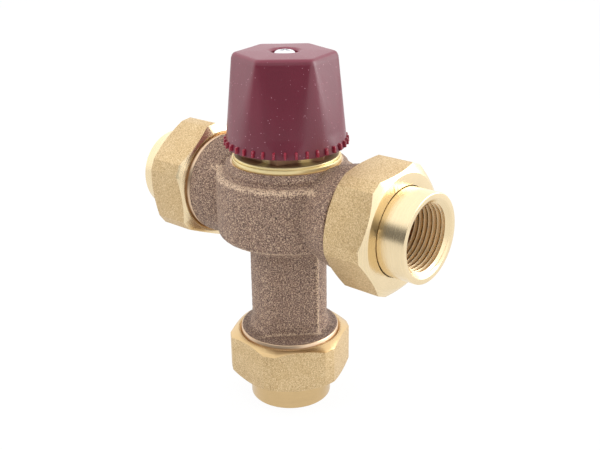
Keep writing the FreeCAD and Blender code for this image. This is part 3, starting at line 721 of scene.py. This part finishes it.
class VALVE_OT_studio(bpy.types.Operator):
    """Add the floor, the surround, the lamps and the camera"""
    bl_idname = "valve.studio"
    bl_label = "Studio"

    def execute(self, context):
        studio = context.scene.studio_settings
        context.scene.view_settings.view_transform = "Standard"
        self.add_floor(studio)
        self.add_surround(context, studio)
        aim = Vector(studio.aim)
        key = self.add_lamp("key", studio.key_power, studio.key_size, studio.key_place, aim)
        key.visible_glossy = False
        self.add_lamp("side", studio.side_power, studio.side_size, studio.side_place, aim)
        turned_by = Matrix.Rotation(studio.azimuth, 4, "Z")
        tipped = Matrix.Rotation(radians(90) - studio.elevation, 4, "X")
        back = Matrix.Translation((0, 0, studio.distance))
        rolled = Matrix.Rotation(studio.roll, 4, "Z")
        settle()
        bpy.ops.object.camera_add()
        camera = context.object
        camera.matrix_world = Matrix.Translation(aim) @ turned_by @ tipped @ back @ rolled
        camera.data.lens = studio.lens
        camera.data.clip_start = 10 * MM
        context.scene.camera = camera
        return {"FINISHED"}

    @staticmethod
    def add_floor(studio):
        """White floor that still takes the valve's shadow."""
        settle()
        bpy.ops.mesh.primitive_plane_add(size=studio.floor_size, location=(0, 0, -studio.floor_gap))
        floor = bpy.context.object
        floor.name = "floor"
        bpy.ops.object.transform_apply(location=True, rotation=True, scale=True)
        made = Finish("floor")
        made.surface(Base_Color=(0.80, 0.80, 0.80), Roughness=0.9)
        seen = made.ray("Camera").larger(made.ray("Glossy")).larger(made.ray("Transmission"))
        white = made.node("ShaderNodeEmission", {},
                          {"Color": (1, 1, 1), "Strength": studio.floor_glow})
        shaded = Value(made, made.shader.outputs[0])
        glow = seen * (1 - studio.floor_shade)
        mixed = made.node("ShaderNodeMixShader", {}, [glow, shaded, white])
        made.tree.links.new(mixed.socket, made.tree.nodes["Material Output"].inputs["Surface"])
        painted(floor, made.data)

    @staticmethod
    def add_surround(context, studio):
        """White all round; shiny surfaces also see a dark patch at the camera's side."""
        world = bpy.data.worlds.new("surround")
        world.use_nodes = True
        context.scene.world = world
        made = Shading(world.node_tree)
        way = made.node("ShaderNodeTexCoord", {}, {}, "Generated")
        patch = (sin(studio.dark_azimuth), -cos(studio.dark_azimuth), 0.10)
        facing = made.node("ShaderNodeVectorMath", {"operation": "DOT_PRODUCT"}, [way, patch],
                           "Value")
        height = made.node("ShaderNodeSeparateXYZ", {}, [way], "Z")
        low = height.between(studio.dark_height + 0.10, studio.dark_height - 0.10)
        dark = facing.between(0.50, 0.68) * low
        glare = studio.glare * (1 - (1 - studio.dark_side) * dark)
        lit = studio.surround + (glare - studio.surround) * made.ray("Glossy")
        seen = made.ray("Camera").larger(made.ray("Transmission"))
        strength = seen + (1 - seen) * lit
        made.put(world.node_tree.nodes["Background"].inputs["Strength"], strength)
        made.put(world.node_tree.nodes["Background"].inputs["Color"], (1, 1, 1))

    @staticmethod
    def add_lamp(name, power, size, place, aim):
        """Square lamp that faces the aim from a place measured from it."""
        settle()
        facing = Vector(place).to_track_quat("Z", "Y").to_euler()
        bpy.ops.object.light_add(type="AREA", location=aim + Vector(place), rotation=facing)
        lamp = bpy.context.object
        lamp.name = name
        lamp.data.energy = power
        lamp.data.shape = "SQUARE"
        lamp.data.size = size
        return lamp


class VALVE_OT_finishes(bpy.types.Operator):
    """Make the materials and give one to every solid"""
    bl_idname = "valve.finishes"
    bl_label = "Finishes"

    def execute(self, context):
        tones = context.scene.finish_tones
        casting = context.scene.casting_sizes
        bonnet = context.scene.bonnet_sizes
        materials = {
            "cast_bronze": cast_bronze(tones, casting),
            "brass_blasted": blasted_brass(tones),
            # The outlet's union takes the darker brass: painted shade.
            "brass_polished": turned_brass("polished_brass", tones.shaded_outlet_brass, 0.24,
                                           RINGS_ROUND_Z),
            "brass_turned": turned_brass("turned_brass", tones.yellow_brass, 0.22,
                                         RINGS_ROUND_Z),
            "cap_plastic": moulded_plastic(tones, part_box("cap")[1].z),
            "rubber": soft_ring("rubber", tones.rubber, (0.03, 0.03, 0.03), 1.2 * MM),
            "fibre": soft_ring("fibre", tones.fibre, (0.30, 0.20, 0.12), 0.7 * MM),
            "spring_steel": drawn_steel("spring_steel", tones.steel, 0.25),
            "screw_steel": drawn_steel("screw_steel", tones.steel, 0.12),
            "copper": turned_brass("copper", tones.copper, 0.25, RINGS_ROUND_Z),
        }
        turned_brass("polished_brass_inlet", tones.bright_brass, 0.21, RINGS_ROUND_X)
        turned_brass("machined_bronze", tones.bronze_light, 0.30, RINGS_ROUND_Z)
        # Paler and less metallic than the other brass: painted light inside the bore.
        turned_brass("lit_thread_brass", tones.thread, 0.30, (200, 200, 200), 0.35)
        bonnet_brass(tones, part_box("bonnet_seal")[1].z + bonnet.rim + bonnet.step)
        rib_plastic(tones)
        for part in frame["record"]["subparts"]:
            painted(frame["nodes"][part["node"]], materials[part["material_slot"]])
        return {"FINISHED"}


class VALVE_OT_tailpieces(bpy.types.Operator):
    """Turn a tailpiece, cut its pipe thread and copy it to the three ports"""
    bl_idname = "valve.tailpieces"
    bl_label = "Tailpieces"

    def execute(self, context):
        sizes = context.scene.union_sizes
        lip = sizes.nut_outer + sizes.nut_lip
        end = lip + sizes.tail_flange
        piece = turned("outlet_tail", [
            (sizes.mouth_r, 0),
            (sizes.tail_r, 0),
            (sizes.tail_r, lip),
            (sizes.tail_flange_r, lip),
            (sizes.tail_flange_r, end),
            (sizes.pipe_r, end),
            (sizes.pipe_r, sizes.mouth_depth),
        ], {sizes.tail_end_round: [1], sizes.tail_edge_round: [0, 3, 4]}, steps=160)
        materials = bpy.data.materials
        painted(piece, materials["polished_brass"])
        combine(piece, painted(self.cutter(sizes), materials["lit_thread_brass"]), "DIFFERENCE")
        smoothed(piece, angle=25)
        for port, matrix in PORTS.items():
            made = piece if port == "outlet" else twin(piece, port + "_tail")
            carried(made, matrix)
            if port != "outlet":
                made.data.materials[0] = materials["polished_brass_inlet"]
            stands_for(made, port + "_tailpiece", "valve")
        return {"FINISHED"}

    @staticmethod
    def cutter(sizes):
        """Helical V that cuts the thread, from outside the mouth to the end of the thread."""
        settle()
        bpy.ops.mesh.primitive_plane_add(size=MM)
        piece = bpy.context.object
        back = sizes.pipe_r - 0.45 * MM
        half = sizes.groove * sizes.pitch / 2 + 0.1 * MM
        corners = [(sizes.pipe_root_r, 0), (back, half), (back, -half)]
        choose(piece, "VERT", lambda vertex: vertex.index > 2)
        bpy.ops.mesh.delete(type="VERT")
        bpy.ops.object.mode_set(mode="OBJECT")
        for vertex, (radius, height) in zip(piece.data.vertices, corners):
            vertex.co = (radius, 0, height - sizes.pitch)
        choose(piece, "VERT", lambda vertex: True)
        bpy.ops.mesh.edge_face_add()
        bpy.ops.object.mode_set(mode="OBJECT")
        turns = round(sizes.thread_length / sizes.pitch)
        steps = 72
        finish_with(piece, "SCREW", screw_offset=sizes.pitch, iterations=turns + 1, steps=steps,
                    render_steps=steps, use_merge_vertices=False)
        choose(piece, "EDGE", lambda edge: False)
        bpy.ops.mesh.select_non_manifold(extend=False, use_wire=False, use_multi_face=False,
                                         use_non_contiguous=False, use_verts=False)
        bpy.ops.mesh.edge_face_add()
        closed_up()
        return piece


class VALVE_OT_union_nuts(bpy.types.Operator):
    """Shape the union nut, cone its ends, bore it and copy it to the three ports"""
    bl_idname = "valve.union_nuts"
    bl_label = "Union nuts"

    def execute(self, context):
        sizes = context.scene.union_sizes
        materials = bpy.data.materials
        outer = sizes.nut_outer
        inner = outer + sizes.nut_length
        nut = hexagon("outlet_nut", sizes.nut_flats, outer, inner, 0)
        painted(nut, materials["blasted_brass"])
        choose(nut, "EDGE", upright(nut))
        far = sizes.nut_flats / sqrt(3)
        bpy.ops.mesh.bevel(offset=2 * far - sizes.nut_corners, segments=1)
        drop = (far - sizes.nut_face_r) * sizes.nut_slope
        cones = turned("cones", [
            (0, outer),
            (sizes.nut_face_r, outer),
            (far, outer + drop),
            (far, inner - drop),
            (sizes.nut_face_r, inner),
            (0, inner),
        ])
        painted(cones, materials["polished_brass"])
        combine(nut, cones, "INTERSECT")
        bore_r = sizes.tail_r + sizes.tail_fit
        past = 1.0 * MM
        edge = 0.8 * MM
        bore = turned("bore", [
            (0, outer - past),
            (bore_r, outer - past),
            (bore_r, outer + sizes.nut_lip),
            (sizes.thread_r, outer + sizes.nut_lip),
            (sizes.thread_r, inner - edge),
            (sizes.thread_r + edge + past, inner + past),
            (0, inner + past),
        ])
        painted(bore, materials["polished_brass"])
        combine(nut, bore, "DIFFERENCE")
        finish_with(nut, "BEVEL", width=sizes.nut_edge, segments=2, limit_method="ANGLE",
                    angle_limit=radians(25))
        smoothed(nut)
        turns = {"hot": sizes.hot_turn, "cold": sizes.cold_turn, "outlet": sizes.outlet_turn}
        copies = {port: twin(nut, port + "_nut") for port in ("hot", "cold")}
        copies["outlet"] = nut
        for port, made in copies.items():
            carried(made, PORTS[port] @ Matrix.Rotation(turns[port], 4, "Z"))
            if port != "outlet":
                made.data.materials[1] = materials["polished_brass_inlet"]
            stands_for(made, port + "_union_nut", "valve")
        return {"FINISHED"}


class VALVE_OT_casting(bpy.types.Operator):
    """Cast the rough tee, then machine its spigots, seat and waterways"""
    bl_idname = "valve.casting"
    bl_label = "Casting"

    def execute(self, context):
        sizes = context.scene.casting_sizes
        unions = context.scene.union_sizes
        body = self.rough_tee(sizes, unions)
        combine(body, self.spigots(sizes, unions), "UNION")
        combine(body, self.cores(sizes, unions), "DIFFERENCE")
        smoothed(body, angle=48)
        stands_for(body, "valve_body", "valve")
        return {"FINISHED"}

    @staticmethod
    def rough_tee(sizes, unions):
        """Barrel, collar and three necks with softened joins and a sandy skin."""
        foot = unions.nut_outer + unions.nut_length + sizes.land
        base = foot - PORT_HEIGHT
        flare_r = sizes.spigot_r - sizes.setback
        neck_top = sizes.barrel_bottom - sizes.fillet
        barrel = turned("casting", [
            (0, sizes.seat + 1.0 * MM),
            (sizes.seat_r, sizes.seat + 1.0 * MM),
            (sizes.seat_r + 1.2 * MM, sizes.seat),
            (sizes.collar_r + 0.2 * MM, sizes.seat - 1.1 * MM),
            (sizes.collar_r + sizes.draft, sizes.barrel_top + 1.6 * MM),
            (sizes.collar_r - 0.2 * MM, sizes.barrel_top + 0.5 * MM),
            (sizes.barrel_r - 1.5 * MM, sizes.barrel_top + 0.2 * MM),
            (sizes.barrel_r - sizes.draft, sizes.barrel_top - 0.65 * MM),
            (sizes.barrel_r, 0),
            (sizes.barrel_r - sizes.draft, sizes.barrel_bottom + 1.3 * MM),
            (sizes.barrel_r - 1.3 * MM, sizes.barrel_bottom),
            (sizes.neck_r + 2.8 * MM, sizes.barrel_bottom - 2.4 * MM),
            (sizes.neck_r, neck_top),
            (sizes.neck_r, base + 2.8 * MM),
            (sizes.neck_r + 1.4 * MM, base + 1.2 * MM),
            (flare_r, base + 0.7 * MM),
            (flare_r, base - 0.4 * MM),
            (0, base - 0.4 * MM),
        ])
        pad = block("pad", (sizes.pad_apothem, -sizes.neck_r, base + 1.2 * MM),
                    (2 * sizes.neck_r, sizes.neck_r, neck_top))
        combine(barrel, carried(pad, Matrix.Rotation(sizes.pad_facing, 4, "Z")), "DIFFERENCE")
        out = sizes.neck_r + sizes.ridge
        half = 0.7 * MM
        ridge = block("ridge", (-out, -half, base), (out, half, sizes.barrel_bottom - 2.0 * MM))
        carried(ridge, Matrix.Rotation(sizes.parting, 4, "Z"))
        carried(join(barrel, ridge), Matrix.Translation((0, 0, PORT_HEIGHT)))
        inner_r = sizes.shoulder_r - 3.4 * MM
        necks = []
        for port in ("hot", "cold"):
            neck = turned(port + "_neck", [
                (0, foot + 0.2 * MM),
                (sizes.inlet_r, foot + 0.2 * MM),
                (sizes.inlet_r, foot + 3.2 * MM),
                (sizes.shoulder_r, foot + 10.6 * MM),
                (inner_r, foot + 16.2 * MM),
                (inner_r, INLET_END),
                (0, INLET_END),
            ])
            necks.append(carried(neck, PORTS[port]))
        tee = join(barrel, *necks)
        finish_with(tee, "REMESH", mode="VOXEL", voxel_size=sizes.skin)
        finish_with(tee, "SMOOTH", factor=0.5, iterations=3)
        sand = bpy.data.textures.new("sand", "CLOUDS")
        sand.noise_scale = 1.5 * MM
        sand.noise_depth = 2
        finish_with(tee, "DISPLACE", texture=sand, texture_coords="LOCAL", strength=sizes.grain,
                    mid_level=0.5)
        painted(tee, bpy.data.materials["sand_cast_bronze"])
        return tee

    @staticmethod
    def spigots(sizes, unions):
        """The threaded end of each neck, with a crisp turned rim."""
        tip = unions.nut_outer + unions.nut_lip + unions.tail_flange + 2.0 * MM
        foot = unions.nut_outer + unions.nut_length + sizes.land
        made = []
        for port, matrix in PORTS.items():
            spigot = turned(port + "_spigot", [
                (0, tip),
                (sizes.spigot_r - 0.6 * MM, tip),
                (sizes.spigot_r, tip + 0.6 * MM),
                (sizes.spigot_r, foot - 0.1 * MM),
                (sizes.spigot_r - 0.25 * MM, foot + 0.15 * MM),
                (0, foot + 0.15 * MM),
            ])
            made.append(carried(spigot, matrix))
        spigots = join(*made)
        painted(spigots, bpy.data.materials["machined_bronze"])
        return spigots

    @staticmethod
    def cores(sizes, unions):
        """Everything bored, faced and cored out of the casting."""
        tip = unions.nut_outer + unions.nut_lip + unions.tail_flange + 1.0 * MM
        above = sizes.seat + 10 * MM
        faced_r = sizes.seat_r + 1.0 * MM
        seal_floor = sizes.seat - sizes.seal_depth
        core = turned("cores", [
            (0, above),
            (faced_r, above),
            (faced_r, sizes.seat),
            (sizes.seal_r, sizes.seat),
            (sizes.seal_r, seal_floor),
            (sizes.thread_r, seal_floor),
            (sizes.thread_r, sizes.chamber),
            (sizes.chamber_r, sizes.chamber),
            (sizes.chamber_r, sizes.web),
            (sizes.guide_r, sizes.web),
            (sizes.guide_r, -sizes.web),
            (sizes.chamber_r, -sizes.web),
            (sizes.chamber_r, -sizes.chamber),
            (sizes.hot_seat_r, -sizes.chamber),
            (sizes.hot_seat_r, sizes.hot_seat),
            (sizes.mixing_r, sizes.hot_seat),
            (sizes.mixing_r, sizes.spring_ledge),
            (sizes.waterway_r, sizes.spring_ledge),
            (sizes.waterway_r, tip - PORT_HEIGHT),
            (0, tip - PORT_HEIGHT),
        ])
        carried(core, Matrix.Translation((0, 0, PORT_HEIGHT)))
        for port in ("hot", "cold"):
            bore = turned(port + "_bore", [
                (0, tip),
                (sizes.waterway_r, tip),
                (sizes.waterway_r, INLET_END - sizes.bore_start),
                (0, INLET_END - sizes.bore_start),
            ])
            combine(core, carried(bore, PORTS[port]), "UNION")
        half = sizes.port_side
        outer = sizes.bore_start + 0.5 * MM
        cold = block("cold_port", (sizes.port_r, -half, PORT_HEIGHT + sizes.web),
                     (outer, half, PORT_HEIGHT + sizes.port_far))
        hot = block("hot_port", (-outer, -half, PORT_HEIGHT - sizes.port_far),
                    (-sizes.port_r, half, PORT_HEIGHT - sizes.web))
        combine(core, cold, "UNION")
        combine(core, hot, "UNION")
        painted(core, bpy.data.materials["machined_bronze"])
        return core


class VALVE_OT_bonnet(bpy.types.Operator):
    """Turn the bonnet, add its wrench hexagon and bore it for the adjusting nut"""
    bl_idname = "valve.bonnet"
    bl_label = "Bonnet"

    def execute(self, context):
        sizes = context.scene.bonnet_sizes
        casting = context.scene.casting_sizes
        low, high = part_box("bonnet")
        seat = PORT_HEIGHT + casting.seat
        step = seat + sizes.rim
        shoulder = step + sizes.step
        tower_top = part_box("spindle_seal")[0].z - sizes.seal_rise
        thread_r = casting.thread_r - 0.05 * MM
        bonnet = turned("bonnet_turned", [
            (0, low.z),
            (thread_r, low.z),
            (thread_r, seat),
            (sizes.rim_r, seat),
            (sizes.rim_r, step),
            (sizes.step_r, step),
            (sizes.step_r, shoulder),
            (sizes.tower_r, shoulder + 0.4 * MM),
            (sizes.tower_r, tower_top),
            (sizes.neck_r, tower_top),
            (sizes.neck_r, high.z),
            (0, high.z),
        ], {0.3 * MM: [3, 4, 6], 0.25 * MM: [8, 10]}, steps=160)
        wrench = hexagon("wrench", sizes.wrench_flats, shoulder - 0.2 * MM,
                         PORT_HEIGHT + sizes.wrench_top, 0)
        combine(bonnet, wrench, "UNION")
        entry_top = PORT_HEIGHT + sizes.entry_top
        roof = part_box("spindle_clip")[0].z
        entry = turned("entry", [(0, low.z - MM), (sizes.entry_r, low.z - MM),
                                 (sizes.entry_r, entry_top), (0, entry_top)])
        combine(bonnet, entry, "DIFFERENCE")
        slide_top = tower_top - sizes.slide_roof
        combine(bonnet, hexagon("slide", sizes.slide_flats, low.z, slide_top, 0), "DIFFERENCE")
        bore = turned("spindle_bore", [(0, slide_top - MM), (sizes.spindle_r, slide_top - MM),
                                       (sizes.spindle_r, roof + MM), (0, roof + MM)])
        combine(bonnet, bore, "DIFFERENCE")
        smoothed(bonnet)
        painted(bonnet, bpy.data.materials["bonnet_brass"])
        stands_for(bonnet, "bonnet", "valve")
        return {"FINISHED"}


class VALVE_OT_cap(bpy.types.Operator):
    """Mould the cap: a round skirt that turns into a hexagon, with grip ribs at its foot"""
    bl_idname = "valve.cap"
    bl_label = "Cap"

    def execute(self, context):
        sizes = context.scene.cap_sizes
        low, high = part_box("cap")
        top = high.z
        height = top - low.z
        slope = (sizes.skirt_r - sizes.top_r) / height
        side_rings = 44
        corner_rings = 8
        top_rings = 12
        side = []
        for ring in range(side_rings + 1):
            rise = (height - sizes.edge) * ring / side_rings
            side.append((sizes.skirt_r - slope * rise, low.z + rise))
        rim = []
        for ring in range(1, corner_rings + 1):
            around = radians(90) * ring / corner_rings
            rim.append((sizes.top_r - sizes.edge * (1 - cos(around)),
                        top - sizes.edge * (1 - sin(around))))
        inner_rim = sizes.recess_r + sizes.recess_edge
        flat = [(inner_rim + (rim[-1][0] - inner_rim) * (1 - ring / top_rings), top)
                for ring in range(1, top_rings + 1)]
        floor = top - sizes.recess_depth
        socket_top = floor - sizes.socket_roof
        roof = top - sizes.roof
        hub_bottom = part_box("spindle_clip")[1].z + sizes.hub_rise
        inner_top_r = sizes.flats / 2 - sizes.wall
        cap = turned("cap_moulding", side + rim + flat + [
            (sizes.recess_r, top - sizes.recess_edge),
            (sizes.recess_r, floor),
            (sizes.screw_hole_r, floor),
            (sizes.screw_hole_r, socket_top),
            (sizes.socket_r, socket_top),
            (sizes.socket_r, hub_bottom),
            (sizes.hub_r, hub_bottom),
            (sizes.hub_r, roof),
            (inner_top_r, roof),
            (sizes.skirt_r - sizes.wall, low.z),
        ], steps=216)
        self.press_flats(cap, sizes, low.z, top)
        painted(cap, bpy.data.materials["moulded_plastic"])
        combine(cap, self.grip(sizes, low.z), "UNION")
        smoothed(cap, angle=30)
        stands_for(cap, "cap", "cap_and_spindle")
        return {"FINISHED"}

    @staticmethod
    def press_flats(cap, sizes, bottom, top):
        """Press six flats into the turned cap; they fade out above the foot."""
        slope = (sizes.skirt_r - sizes.top_r) / (top - bottom)
        fade = bottom + sizes.band
        fade_r = sizes.skirt_r - slope * sizes.band
        slack = 0.01 * MM
        inside = sizes.recess_r + sizes.recess_edge + slack
        rim = sizes.top_r - sizes.edge
        for vertex in cap.data.vertices:
            across = vertex.co.xy.length
            height = min(max(vertex.co.z, fade), top - sizes.edge)
            cone_r = sizes.skirt_r - slope * (height - bottom)
            on_side = across > cone_r - sizes.edge - slack and vertex.co.z > fade
            on_top = vertex.co.z > top - slack and across > inside
            if not (on_side and across > sizes.skirt_r - sizes.wall - 3 * MM or on_top):
                continue
            below_round = vertex.co.z < top - sizes.edge - slack
            if below_round and across < cone_r - 5 * slack:
                continue
            around = atan2(vertex.co.y, vertex.co.x) - sizes.turned
            off = (around + radians(30)) % radians(60) - radians(30)
            share = (height - fade) / (top - fade)
            apothem = fade_r + (sizes.flats / 2 - fade_r) * share
            flat_r = apothem / cos(radians(30) - abs(off))
            # Softer towards the foot, and never so small that the blend divides by 0.
            soft = sizes.softness * (1 + 4 * (1 - share)) * min(1, share * 6) + MM / 1000000
            blend = min(max(0.5 + (flat_r - cone_r) / soft / 2, 0), 1)
            pressed = flat_r + (cone_r - flat_r) * blend - soft * blend * (1 - blend)
            moved = pressed - cone_r
            if on_top and across < rim:
                moved *= (across - inside) / (rim - inside)
                vertex.co.z += sizes.crown * (1 - (across / rim) ** 2)
            vertex.co.xy *= (across + moved) / across

    @staticmethod
    def grip(sizes, bottom):
        """Ribs with rounded edges and sloping tops, copied round the foot."""
        half = sizes.rib_width / 2
        foot = bottom + sizes.rib_foot
        first = block("grip", (sizes.skirt_r - 0.5 * sizes.wall, -half, foot),
                      (sizes.skirt_r + sizes.rib_proud, half, foot + sizes.rib_height))
        choose(first, "VERT", lambda vertex: vertex.co.x > sizes.skirt_r
               and vertex.co.z > bottom + sizes.rib_height / 2)
        slope = (-0.15 * MM, 0, -0.35 * MM)
        bpy.ops.transform.translate(value=slope)
        settle()
        finish_with(first, "BEVEL", width=0.18 * MM, segments=2)
        ribs = [first]
        for index in range(1, sizes.ribs):
            rib = twin(first, "rib")
            ribs.append(carried(rib, Matrix.Rotation(2 * pi * index / sizes.ribs, 4, "Z")))
        grip = join(*ribs)
        painted(grip, bpy.data.materials["rib_plastic"])
        return grip


class VALVE_OT_cap_screw(bpy.types.Operator):
    """Turn the domed screw and cut its cross recess"""
    bl_idname = "valve.cap_screw"
    bl_label = "Cap screw"

    def execute(self, context):
        sizes = context.scene.cap_sizes
        low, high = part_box("cap_screw")
        seat = high.z - sizes.screw_height
        chamfer = 0.3 * MM
        screw = turned("pan_screw", [
            (0, low.z),
            (sizes.shank_r - chamfer, low.z),
            (sizes.shank_r, low.z + chamfer),
            (sizes.shank_r, seat),
            (sizes.screw_r, seat),
            (sizes.screw_r, seat + 0.55 * sizes.screw_height),
            (0.62 * sizes.screw_r, high.z - 0.08 * sizes.screw_height),
            (0, high.z),
        ], {1.2 * MM: [5], 0.9 * MM: [6]}, steps=64)
        deep = high.z - sizes.cross_depth
        half = sizes.cross_width / 2
        span = sizes.cross_span / 2
        cross = block("cross", (-span, -half, deep), (span, half, high.z + MM))
        other = block("slot", (-half, -span, deep), (half, span, high.z + MM))
        combine(cross, other, "UNION")
        combine(screw, cross, "DIFFERENCE")
        smoothed(screw)
        painted(screw, bpy.data.materials["screw_steel"])
        stands_for(screw, "cap_screw", "cap_and_spindle")
        return {"FINISHED"}


class VALVE_OT_springs(bpy.types.Operator):
    """Copy the two coil springs, each to ride with its body"""
    bl_idname = "valve.springs"
    bl_label = "Springs"

    def execute(self, context):
        joints = {joint["name"]: joint for joint in frame["record"]["behaviour"]["joints"]}
        springs = [("overload_spring", "adjusting_carriage", "overload_slide"),
                   ("return_spring", "valve", "shuttle_slide")]
        for node, body, slide in springs:
            low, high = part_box(node)
            travel = max(abs(limit) for limit in joints[slide]["range_m"])
            spring = twin(frame["nodes"][node], node.replace("spring", "coil"))
            choose(spring, "VERT", lambda vertex: True)
            closed_up()
            smoothed(spring)
            stands_for(spring, node, body)
            1 - travel / (high.z - low.z)
            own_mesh(spring)
        return {"FINISHED"}


class VALVE_PT_sidebar(bpy.types.Panel):
    """The sizes and colours, with a button for each operator"""
    bl_idname = "VALVE_PT_sidebar"
    bl_label = "Mixing Valve"
    bl_space_type = "VIEW_3D"
    bl_region_type = "UI"
    bl_category = "Mixing Valve"

    def draw(self, context):
        for name, kind in SETTINGS.items():
            box = self.layout.box()
            box.label(text=name.replace("_", " ").capitalize())
            for key in kind.__annotations__:
                box.prop(getattr(context.scene, name), key)
        for kind in OPERATORS:
            self.layout.operator(kind.bl_idname)


SETTINGS = {
    "studio_settings": StudioSettings,
    "union_sizes": UnionSizes,
    "casting_sizes": CastingSizes,
    "bonnet_sizes": BonnetSizes,
    "cap_sizes": CapSizes,
    "finish_tones": Finishes,
}
OPERATORS = (VALVE_OT_studio, VALVE_OT_finishes, VALVE_OT_tailpieces, VALVE_OT_union_nuts,
             VALVE_OT_casting, VALVE_OT_bonnet, VALVE_OT_cap, VALVE_OT_cap_screw,
             VALVE_OT_springs)
CLASSES = (*SETTINGS.values(), *OPERATORS, VALVE_PT_sidebar)


def register():
    for kind in CLASSES:
        bpy.utils.register_class(kind)
    for name, kind in SETTINGS.items():
        setattr(bpy.types.Scene, name, PointerProperty(type=kind))


def unregister():
    for name in SETTINGS:
        delattr(bpy.types.Scene, name)
    for kind in reversed(CLASSES):
        bpy.utils.unregister_class(kind)


def main():
    """Make the studio and every piece."""
    register()
    bpy.ops.valve.studio()
    bpy.ops.valve.finishes()
    bpy.ops.valve.tailpieces()
    bpy.ops.valve.union_nuts()
    bpy.ops.valve.casting()
    bpy.ops.valve.bonnet()
    bpy.ops.valve.cap()
    bpy.ops.valve.cap_screw()
    bpy.ops.valve.springs()


if __name__ == "__main__":
    main()
